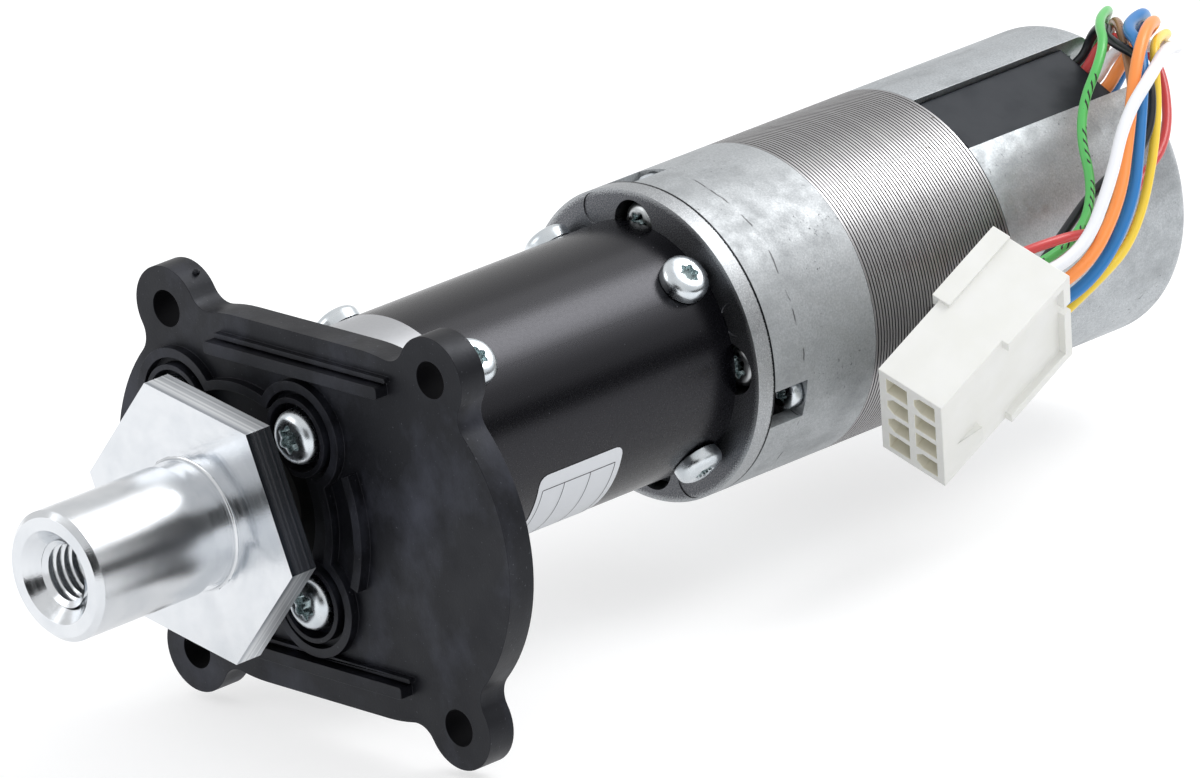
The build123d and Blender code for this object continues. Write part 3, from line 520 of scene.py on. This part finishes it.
mesh = merged_copy("wheel_hub")
for vert in mesh.verts:
    reach = off_axis(vert.co)
    on_neck = reach < stub_r + cove_r + near
    if vert.co.y < hole_end_y and abs(reach - core_r) < near:
        scale_from_axis(vert, thread_root_r / core_r)
        if vert.co.y < sink_zone_y:
            vert.co.y -= sink_shift
    if on_neck and abs(vert.co.y - solid_groove[0]) < near:
        vert.co.y = groove[0]
    elif on_neck and abs(vert.co.y - solid_groove[1]) < near:
        vert.co.y = groove[1]
    elif on_neck and reach > stub_r - near / 2 and vert.co.y < hex_front_y + near / 2:
        scale_from_axis(vert, (stub_r + (reach - stub_r) * cove_share) / reach)
        if vert.co.y > hex_front_y - cove_r - near / 10:
            vert.co.y = hex_front_y + (vert.co.y - hex_front_y) * cove_share
milled_from_r = 0.014
for face in mesh.faces:
    # Sides facing right take the painted-shade copy, the others the painted-light copy.
    if off_axis(face.calc_center_median()) > milled_from_r and abs(face.normal.y) < 0.3:
        face.material_index = 1 if face.normal.x > 0.8 else 2
smooth(mesh)
hub_looks = [hub_metal, shaded_smooth_side, lit_coarse_side]
hub = add_piece("hub", mesh, hub_looks, "wheel_drive", ["wheel_hub"])
round_edges(hub, 0.0002)

thread_pitch = 1.25  # in millimetres, like the ridge's profile
thread_turns = 8
turn_steps = 36
ridge_profile = ((4.15, -30.7), (3.42, -30.22), (3.42, -30.08), (4.15, -29.6))  # radius and Y
mesh = bmesh.new()
corners = [mesh.verts.new((axis_x_mm + reach, y, 0)) for reach, y in ridge_profile]
sides = [mesh.edges.new(pair) for pair in zip(corners, corners[1:])]
bmesh.ops.spin(
    mesh,
    geom=corners + sides,
    cent=(axis_x_mm, 0, 0),
    axis=(0, 1, 0),
    dvec=(0, thread_pitch / turn_steps, 0),
    angle=2 * pi * thread_turns,
    steps=turn_steps * thread_turns,
)
bmesh.ops.recalc_face_normals(mesh, faces=mesh.faces)
metres(mesh)
smooth(mesh, 30)
add_piece("hub_thread", mesh, [hub_metal], "wheel_drive")

# Bearing housing, shaft, seal and bearings: turned and ground steel and light metal, pressed together.
# The housing's front end in the flange's bore is painted dark as shade, its spigot slides into the tube, and
# only its satin band shows behind the flange. The gears, the carriers and the rotor's core share the same
# steel.
def colour_node(node, material):
    """Gives a modelled node its material."""
    materials = frame["nodes"][node].data.materials
    materials.clear()
    materials.append(material)


steel, tree = shade("satin_steel", (0.66, 0.67, 0.68), 0.3, 1.0)
vary_roughness(tree, noise(tree, 3000, 2.0, (0.05, 1, 0.05)), 0.24, 0.38)
relief(tree, noise(tree, 4200, 2.0, (0.02, 1, 0.02)), 0.00001, 0.4)

turned_light, tree = shade("turned_light_metal", (0.5, 0.51, 0.53), 0.38, 1.0)
# Painted shade: in front of 8.5 mm along the axis, inside the flange's bore, the housing is made near black.
shaded_nose = remap(tree, reach_from_axis(tree)[1], 0.0085, 0.009, 0, 1)
paint(tree, blend_colours(tree, shaded_nose, (0.012, 0.012, 0.013), (0.5, 0.51, 0.53)))
relief(tree, noise(tree, 4200, 3.0), 0.00001, 0.5)
vary_roughness(tree, noise(tree, 2400, 3.0), 0.34, 0.46)
colour_node("bearing_housing", turned_light)
steel_words = ("shaft", "planet", "sun", "pinion", "rings", "gear", "carrier", "rotor_core")
for node in frame["nodes"]:
    if node != "gearbox_tube" and any(word in node for word in steel_words):
        colour_node(node, steel)

rubber, tree = shade("seal_rubber", (0.012, 0.012, 0.012), 0.55, specular=0.35)
relief(tree, noise(tree, 1500, 3.0), 0.00003, 0.5)
colour_node("shaft_seal", rubber)

# Gearbox tube: a drawn steel tube with a satin black coat. Eight screws with domed heads hold it on the
# bearing housing and on the adapter plate, and a bare label with empty table lines is stuck on its side.
def dressed_copy(name, node, material, edge, segments=2):
    """A housing piece that stands for a modelled node, with its sharp edges broken by a small radius."""
    mesh = merged_copy(node)
    smooth(mesh)
    round_edges(add_piece(name, mesh, [material], "housing", [node]), edge, segments)


tube_r = span("gearbox_tube", 0)[1] - axis_x_mm
tube_black, tree = shade("tube_black", (0.002, 0.002, 0.003), 0.28, specular=0.38, gloss_tint=(0.9, 0.9, 1.0))
vary_roughness(tree, noise(tree, 2600, 3.0), 0.25, 0.28)
dust = remap(tree, noise(tree, 1300, 2.0), 0.76, 0.8, 0, 1)
paint(tree, blend_colours(tree, dust, (0.002, 0.002, 0.003), (0.08, 0.08, 0.09)))
relief(tree, noise(tree, 5200, 2.0), 0.000003, 0.5)
dressed_copy("tube", "gearbox_tube", tube_black, edge=0.0002)

tube_screw = dict(head_r=3.1, head_height=2.2, shank_r=1.5, length=4.85, socket_r=1.12, depth=1.1, side=0.45)
for name, node in (("front_screw_set", "front_radial_screws"), ("rear_screw_set", "rear_radial_screws")):
    y = sum(span(node, 1)) / 2
    places = []
    for angle in diagonal_angles:
        outward = (cos(radians(angle)), 0, sin(radians(angle)))
        places.append((round_the_axis(tube_r, y, angle), outward, angle + y))
    screw_set(name, node, zinc, tube_screw, places)


def on_tube(mesh, angles, ys, lift, corner, columns, rows, material_index):
    """A patch on the tube's wall between two angles and two Ys, its corners round."""
    made = bmesh.ops.create_grid(mesh, x_segments=columns, y_segments=rows, size=1.0)["verts"]
    half_arc = radians(angles[1] - angles[0]) * tube_r / 2
    half_y = (ys[1] - ys[0]) / 2
    for vert in made:
        u, v = vert.co.x * half_arc, vert.co.y * half_y
        over_u, over_v = abs(u) - (half_arc - corner), abs(v) - (half_y - corner)
        if over_u > 0 and over_v > 0:
            shrink = max(over_u, over_v) / hypot(over_u, over_v)
            u = (half_arc - corner + over_u * shrink) * (1 if u > 0 else -1)
            v = (half_y - corner + over_v * shrink) * (1 if v > 0 else -1)
        angle = radians(angles[0] + angles[1]) / 2 + u / tube_r
        reach = tube_r + lift
        vert.co = (axis_x_mm + reach * cos(angle), (ys[0] + ys[1]) / 2 + v, reach * sin(angle))
    for face in {face for vert in made for face in vert.link_faces}:
        face.material_index = material_index


label_paper, tree = shade("label_paper", (0.76, 0.78, 0.81), 0.42, specular=0.4)
relief(tree, noise(tree, 900, 3.0), 0.000004, 0.4)
label_ink, tree = shade("label_ink", (0.05, 0.05, 0.06), 0.5)
vary_roughness(tree, noise(tree, 2500, 2.0), 0.45, 0.6)
paper_angles = (-100, -14.2)
paper_ys = (32.5, 46.5)
paper_lift = 0.06
ink_lift = 0.075
table_angles = (-96, -22)
table_lines = (33.3, 37.0, 41.4, 45.5)
half_line = 0.06
half_line_angle = 0.25
mesh = bmesh.new()
on_tube(mesh, paper_angles, paper_ys, paper_lift, corner=1.3, columns=40, rows=24, material_index=0)
for y in table_lines:
    line_ys = (y - half_line, y + half_line)
    on_tube(mesh, table_angles, line_ys, ink_lift, corner=0, columns=32, rows=1, material_index=1)
for angle in table_angles:
    line_angles = (angle - half_line_angle, angle + half_line_angle)
    line_ys = (table_lines[0], table_lines[-1])
    on_tube(mesh, line_angles, line_ys, ink_lift, corner=0, columns=1, rows=4, material_index=1)
bmesh.ops.recalc_face_normals(mesh, faces=mesh.faces)
inside = Vector((axis_x_mm, sum(paper_ys) / 2, 0))
facing_out = sum(1 if face.normal.dot(face.calc_center_median() - inside) > 0 else -1 for face in mesh.faces)
if facing_out < 0:
    bmesh.ops.reverse_faces(mesh, faces=mesh.faces)
metres(mesh)
smooth(mesh, 60)
add_piece("label", mesh, [label_paper, label_ink], "housing")

# Adapter plate: a dark cast plate with a fine grain. Its spigot carries the ring gear, and four screws in
# deep recesses hold it on the motor's shield.
plate_rear = span("motor_shield", 1)[0] / 1000
cast, tree = shade("cast_plate", (0.05, 0.053, 0.058), 0.45, 1.0)
reach, along = reach_from_axis(tree)
grain = noise(tree, 6000, 4.0)
fine = remap(tree, grain, 0.42, 0.7, 0, 1)
face_tint = blend_colours(tree, fine, (0.1, 0.104, 0.115), (0.27, 0.275, 0.29))
rim_tint = blend_colours(tree, fine, (0.36, 0.375, 0.39), (0.58, 0.595, 0.61))
wander = work_out(tree, "SUBTRACT", grain, 0.5)
ragged = work_out(tree, "ADD", reach, work_out(tree, "MULTIPLY", wander, 0.0014))
tint = blend_colours(tree, remap(tree, ragged, 0.0192, 0.0198, 0, 1), face_tint, rim_tint)
ragged = work_out(tree, "ADD", along, work_out(tree, "MULTIPLY", wander, 0.0005))
joint = remap(tree, ragged, plate_rear - 0.0004, plate_rear - 0.0003, 0, 1)
paint(tree, blend_colours(tree, joint, tint, (0.015, 0.016, 0.018)))
vary_roughness(tree, grain, 0.4, 0.52)
relief(tree, noise(tree, 4200, 4.0), 0.00003, 0.6)
dressed_copy("plate", "adapter_plate", cast, edge=0.0003, segments=3)

# A darker copy of the zinc as painted shade, for the screws down in the plate's deep recesses.
shaded_zinc, tree = shade("shaded_zinc", (0.5, 0.52, 0.53), 0.3, 1.0)
vary_roughness(tree, noise(tree, 900, 3.0), 0.24, 0.4)
plate_screw_place_r = 15.45
plate_screw = dict(head_r=2.75, head_height=2.0, shank_r=1.5, length=7.0, socket_r=1.25, depth=1.1, side=0.36)
seat_y = span("adapter_screws", 1)[1] - plate_screw["length"]
quarter_angles = (0, 90, 180, 270)
places = [
    (round_the_axis(plate_screw_place_r, seat_y, angle), to_front, angle + 35) for angle in quarter_angles
]
screw_set("plate_screw_set", "adapter_screws", shaded_zinc, plate_screw, places)

# Motor shield: a die-casting with three windows, in which the heads of the long bolts show. The bolts
# clamp it to the stack and the rear cover, and its outside keeps the cast grain, with stains and a scuff.
def die_casting(name, colour, light, roughness, scuff_at=None):
    """Grey die-cast metal: fine grain, stains, dark pits in groups, and perhaps a ragged scuff round it."""
    material, tree = shade(name, colour, roughness, 0.95)
    grain = remap(tree, noise(tree, 4200, 3.0, rough=0.6), 0.35, 0.68, 0, 1)
    tint = blend_colours(tree, grain, colour, light)
    stain = remap(tree, noise(tree, 130, 6.0, (1, 0.6, 1), 0.66), 0.48, 0.7, 0, 0.7)
    tint = blend_colours(tree, stain, tint, tuple(0.72 * value for value in colour))
    groups = remap(tree, noise(tree, 110, 2.0), 0.48, 0.62, 0, 1)
    pits = remap(tree, noise(tree, 1900, 2.0), 0.66, 0.74, 0, 0.8)
    tint = blend_colours(tree, work_out(tree, "MULTIPLY", groups, pits), tint, (0.12, 0.125, 0.13))
    if scuff_at:
        wander = work_out(tree, "MULTIPLY", work_out(tree, "SUBTRACT", noise(tree, 90, 5.0), 0.5), 0.0035)
        away = work_out(tree, "SUBTRACT", reach_from_axis(tree)[1], work_out(tree, "ADD", wander, scuff_at))
        line = remap(tree, work_out(tree, "ABSOLUTE", away), 0.00006, 0.00016, 1, 0)
        broken = remap(tree, noise(tree, 260, 3.0), 0.5, 0.56, 0, 0.85)
        tint = blend_colours(tree, work_out(tree, "MULTIPLY", line, broken), tint, (0.1, 0.1, 0.105))
    paint(tree, tint)
    vary_roughness(tree, noise(tree, 500, 4.0), roughness - 0.06, roughness + 0.08)
    relief(tree, noise(tree, 2600, 4.0, rough=0.6), 0.000035, 0.6)
    return material


shield_cast = die_casting("shield_die_cast", (0.42, 0.44, 0.455), (0.55, 0.57, 0.585), 0.6, scuff_at=0.0732)
dressed_copy("shield", "motor_shield", shield_cast, edge=0.00025)

tie_bolt_place_r = 17.5
tie_bolt = dict(head_r=2.1, head_height=2.2, shank_r=1.2, length=44.2, socket_r=0.85, depth=1.1, side=0.8)
seat_y = span("tie_bolts", 1)[1] - tie_bolt["length"]
tie_angles = (-16, 104, 224)
places = [(round_the_axis(tie_bolt_place_r, seat_y, angle), to_front, angle) for angle in tie_angles]
screw_set("tie_bolt_set", "tie_bolts", zinc, tie_bolt, places)

# Stator: stacked sheets of electrical steel, 0.5 mm thick, whose edges show as fine lines round the stack.
# Copper windings sit on the teeth inside, and the magnets' rotor turns in the bore.
stack, tree = shade("lamination_edges", (0.42, 0.41, 0.42), 0.36, 1.0)
sheets = noise(tree, 900, 1.0, (0.004, 1, 0.004))
tint = blend_colours(tree, remap(tree, sheets, 0.35, 0.65, 0, 1), (0.38, 0.375, 0.382), (0.43, 0.427, 0.432))
dark_marks = remap(tree, noise(tree, 900, 3.0), 0.7, 0.77, 0, 1)
paint(tree, blend_colours(tree, dark_marks, tint, (0.12, 0.11, 0.1)))
relief(tree, noise(tree, 3600, 3.0), 0.000012, 0.5)
gap_between, tree = shade("gap_between_sheets", (0.1, 0.098, 0.1), 0.5, 0.9)
vary_roughness(tree, noise(tree, 1200, 2.0), 0.45, 0.6)
stack_front_y, stack_rear_y = span("stator_core", 1)
stack_r = span("stator_core", 0)[1] - axis_x_mm
gap_r = stack_r - 0.18
inner_r = stack_r - 0.5
sheet_count = 49
sheet_pitch = 0.504
sheet_profile = ((0.05, stack_r), (0.37, stack_r), (0.42, gap_r), (0.5, gap_r))  # one sheet and its gap
solid_share = 0.985  # the solid's outside moves in under the sheets
mesh = merged_copy("stator_core")
for vert in mesh.verts:
    if off_axis(vert.co) > (stack_r - 0.1) / 1000:
        scale_from_axis(vert, solid_share)
outline = [(stack_front_y, inner_r)]
for sheet in range(sheet_count):
    start = stack_front_y + sheet_pitch * sheet
    outline += [(start + step, reach) for step, reach in sheet_profile]
outline.append((stack_rear_y, inner_r))
points = [mesh.verts.new((axis_x + reach / 1000, y / 1000, 0)) for y, reach in outline]
rim = [mesh.edges.new(pair) for pair in zip(points, points[1:] + points[:1])]
bmesh.ops.spin(
    mesh, geom=points + rim, cent=(axis_x, 0, 0), axis=(0, 1, 0), angle=2 * pi, steps=120, use_merge=True
)
bmesh.ops.recalc_face_normals(mesh, faces=mesh.faces)
for face in mesh.faces:
    reach = 1000 * off_axis(face.calc_center_median())
    face.material_index = 1 if gap_r - 0.12 < reach < stack_r - 0.05 else 0
smooth(mesh, 12)
add_piece("lamination_stack", mesh, [stack, gap_between], "housing", ["stator_core"])

copper, tree = shade("enamelled_copper", (0.55, 0.2, 0.07), 0.3, 0.9)
relief(tree, noise(tree, 2200, 2.0, (1, 0.1, 1)), 0.00008, 0.8)
colour_node("stator_windings", copper)
magnet_grey, tree = shade("magnet_grey", (0.14, 0.14, 0.15), 0.4, 0.8)
vary_roughness(tree, noise(tree, 900, 2.0), 0.34, 0.48)
colour_node("rotor_magnets", magnet_grey)
board_green, tree = shade("board_green", (0.03, 0.2, 0.09), 0.35)
tracks = remap(tree, noise(tree, 900, 2.0), 0.5, 0.55, 0, 1)
paint(tree, blend_colours(tree, tracks, (0.025, 0.18, 0.08), (0.04, 0.26, 0.12)))
colour_node("sensor_board", board_green)

# Rear cover: a die-casting with a rounded rear edge and a slot along its top. A satin black cover fills
# the slot, and the leads leave through a soft sleeve at its rear.
cover_cast = die_casting("cover_die_cast", (0.42, 0.445, 0.465), (0.58, 0.605, 0.625), 0.5)
dressed_copy("cover", "rear_cover", cover_cast, edge=0.00025)

satin_black, tree = shade(
    "satin_black", (0.006, 0.008, 0.012), 0.38, specular=0.28, gloss_tint=(0.85, 0.91, 1.0)
)
relief(tree, noise(tree, 900, 3.0), 0.00002, 0.5)
vary_roughness(tree, noise(tree, 300, 4.0), 0.3, 0.46)
dressed_copy("slot_cover", "lead_cover", satin_black, edge=0.0004, segments=3)
colour_node("lead_sleeve", satin_black)

# Plug: a moulded shell of white nylon with two columns of four cells, rails and a latch. Light sinks a
# little way into it, its cells' insides are painted creamier as shade, and tinned contacts are pushed into
# them from behind.
white_nylon, tree = shade("white_nylon", (0.83, 0.83, 0.8), 0.42, specular=0.4)
shell_shader = tree.nodes["Principled BSDF"]
shell_shader.inputs["Subsurface Weight"].default_value = 0.1
shell_shader.inputs["Subsurface Radius"].default_value = (0.001, 0.001, 0.0008)
warmth = remap(tree, noise(tree, 200, 3.0), 0.35, 0.65, 0, 1)
paint(tree, blend_colours(tree, warmth, (0.84, 0.84, 0.81), (0.81, 0.81, 0.77)))
relief(tree, noise(tree, 700, 3.0), 0.00002, 0.4)
# Painted shade: the cells' insides get a creamier, darker nylon.
shaded_cell_nylon, tree = shade("shaded_cell_nylon", (0.82, 0.79, 0.66), 0.45, specular=0.4)
vary_roughness(tree, noise(tree, 400, 2.0), 0.4, 0.5)
mesh = merged_copy("plug_housing", whole_faces=False)
half_pitch = 2.1
cell_half_width = 1.6
cell_depth = 13.1
plug_front = Vector((0.01974, 0.08068, -0.00921))
plug_across = Vector((0.890, 0.188, -0.415)).normalized()
plug_upward = Vector((0.454, -0.433, 0.779)).normalized()
plug_along = plug_upward.cross(plug_across)
# Faces inside the cells take the painted-shade nylon.
for face in mesh.faces:
    spot = (face.calc_center_median() - plug_front) * 1000
    x, y, z = (spot.dot(side) for side in (plug_across, plug_along, plug_upward))
    from_cell = max(abs(abs(x) - half_pitch), min(abs(abs(z) - half_pitch), abs(abs(z) - 3 * half_pitch)))
    face.material_index = 1 if 0.05 < y < cell_depth and from_cell < cell_half_width else 0
smooth(mesh)
plug = add_piece("plug_shell", mesh, [white_nylon, shaded_cell_nylon], "housing", ["plug_housing"])
round_edges(plug, 0.00012)
tin, tree = shade("tin", (0.75, 0.74, 0.7), 0.3, 1.0)
vary_roughness(tree, noise(tree, 900, 2.0), 0.24, 0.4)
colour_node("plug_terminals", tin)

# Leads: eight limp stranded wires in glossy insulation. They leave the sleeve under the lead cover,
# bend over in loose curves and end in the plug. Positions in millimetres.
lead_colours = {
    "white": (0.82, 0.83, 0.86),
    "orange": (0.95, 0.3, 0.07),
    "blue": (0.022, 0.19, 0.5),
    "yellow": (0.93, 0.65, 0.06),
    "red": (0.58, 0.06, 0.06),
    "green": (0.1, 0.5, 0.12),
    "black": (0.014, 0.016, 0.02),
    "brown": (0.34, 0.165, 0.08),
}
power_wire = 1.6
signal_wire = 1.25
lead_paths = {
    "white": (power_wire, [
        (-2.2, 134, 14.3), (-2.2, 137.7, 14.3), (-2.1, 142.2, 18.7), (5.7, 146.1, 18.6), (11.5, 137.3, 22.2),
        (16.7, 129.3, 22.1), (19, 121.5, 18.7), (23.1, 114.1, 12.9), (26, 105.4, 6.8), (25.3, 99.9, 6.3)
    ]),
    "orange": (power_wire, [
        (-0.5, 134, 13.4), (-0.5, 137.8, 13.4), (-0.4, 141.7, 17.3), (6.4, 141.5, 23.8), (11.4, 134.1, 25.8),
        (14.5, 128.5, 22.6), (17.6, 123.4, 15.5), (21.7, 117, 9.5), (24.3, 107.5, 3.7), (23.4, 101.7, 3)
    ]),
    "blue": (power_wire, [
        (-1.3, 134, 11.8), (-1.3, 139.2, 11.8), (-3.3, 146.8, 17.4), (2.3, 144.1, 23.7), (5.6, 135.9, 24.1),
        (12.2, 132.7, 23.6), (17.2, 126, 15.8), (21.4, 119.5, 7.8), (22.4, 109.7, 0.4), (21.5, 103.5, -0.2)
    ]),
    "yellow": (signal_wire, [
        (-3, 134, 12.7), (-3, 138.8, 12.7), (-4.7, 148.1, 14.1), (1.4, 148.7, 19.3), (7.4, 140.1, 21.9),
        (10.7, 135.8, 22.3), (15.3, 131.2, 14.4), (19.3, 122.3, 3.4), (20.4, 112.7, -0.3), (19.6, 105.3, -3.5)
    ]),
    "red": (signal_wire, [
        (-4, 134, 15.1), (-4, 137.8, 15.1), (-3.4, 142.1, 20.4), (1.2, 146.5, 17.1), (9.9, 138.8, 9.7),
        (12.2, 129.8, 6.5), (16.3, 122.9, 4.9), (20.4, 115.3, 6), (23.3, 105.9, 8.9), (21.5, 99.1, 8.1)
    ]),
    "green": (signal_wire, [
        (-6.5, 134, 14.4), (-6.5, 139.1, 14.4), (-6, 144.6, 20.7), (-1.1, 140.5, 24.2), (3.7, 133.4, 25.3),
        (9.5, 128.7, 24.2), (11.8, 120.3, 17.6), (18.5, 116.2, 9.7), (21.1, 108, 5.7), (19.6, 100.9, 4.8)
    ]),
    "black": (signal_wire, [
        (-5.7, 134, 16), (-5.7, 139.4, 16), (-4.5, 141, 20.8), (0.6, 138.5, 22.5), (5, 133.2, 23.2),
        (12.4, 133.6, 21.4), (16.9, 128, 12.9), (16.3, 118.2, 10.2), (17.6, 109.2, 5.2), (17.7, 102.7, 1.5)
    ]),
    "brown": (signal_wire, [
        (-4.8, 134, 13.6), (-4.8, 140.5, 13.6), (-4.8, 144.3, 19.9), (0.4, 140.1, 23.1), (5.9, 135.6, 22.6),
        (11.3, 131.3, 18.4), (15.2, 125.9, 12.1), (16.8, 119.3, 6.7), (15.8, 111, 2.1), (15.8, 104.5, -1.8)
    ]),
}


def printed_ticks(tree, colour, count, start):
    """Plain black ticks in two rows along a wire from a share of its length on, by its own UV map."""
    place = tree.nodes.new("ShaderNodeTexCoord")
    parts = tree.nodes.new("ShaderNodeSeparateXYZ")
    tree.links.new(place.outputs["UV"], parts.inputs[0])
    along, around = parts.outputs[0], parts.outputs[1]
    lean = work_out(tree, "MULTIPLY", around, 4)
    slant = work_out(tree, "ADD", work_out(tree, "MULTIPLY", along, count), lean)
    tick = work_out(tree, "LESS_THAN", work_out(tree, "FRACT", slant), 0.34)
    row = work_out(tree, "FRACT", work_out(tree, "MULTIPLY", around, 2))
    off_row = work_out(tree, "ABSOLUTE", work_out(tree, "SUBTRACT", row, 0.5))
    in_row = work_out(tree, "LESS_THAN", off_row, 0.2)
    wave = work_out(tree, "SINE", work_out(tree, "MULTIPLY", along, 71))
    in_group = work_out(tree, "GREATER_THAN", wave, -0.55)
    printed = work_out(tree, "MULTIPLY", in_group, work_out(tree, "GREATER_THAN", along, start))
    share = work_out(tree, "MULTIPLY", work_out(tree, "MULTIPLY", tick, in_row), printed)
    return blend_colours(tree, share, colour, (0.015, 0.015, 0.015))


tick_count = 62
printed_from = {"green": 0.6, "brown": 0.05}
for colour, (diameter, points) in lead_paths.items():
    wire = bpy.data.curves.new(f"{colour}_wire", "CURVE")
    wire.dimensions = "3D"
    wire.bevel_depth = diameter / 2000
    wire.bevel_resolution = 5
    wire.resolution_u = 16
    wire.use_fill_caps = True
    line = wire.splines.new("NURBS")
    line.points.add(len(points) - 1)
    for point, place in zip(line.points, points):
        point.co = (place[0] / 1000, place[1] / 1000, place[2] / 1000, 1)
    line.order_u = 3
    line.use_endpoint_u = True
    insulation, tree = shade(f"{colour}_insulation", lead_colours[colour], 0.3, specular=0.45)
    relief(tree, noise(tree, 500, 2.0), 0.00002, 0.3)
    if colour in printed_from:
        paint(tree, printed_ticks(tree, lead_colours[colour], tick_count, printed_from[colour]))
    wire.materials.append(insulation)
    lead = bpy.data.objects.new(f"{colour}_wire", wire)
    scene.collection.objects.link(lead)
    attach(lead, "housing")
    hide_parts(f"{colour}_lead")
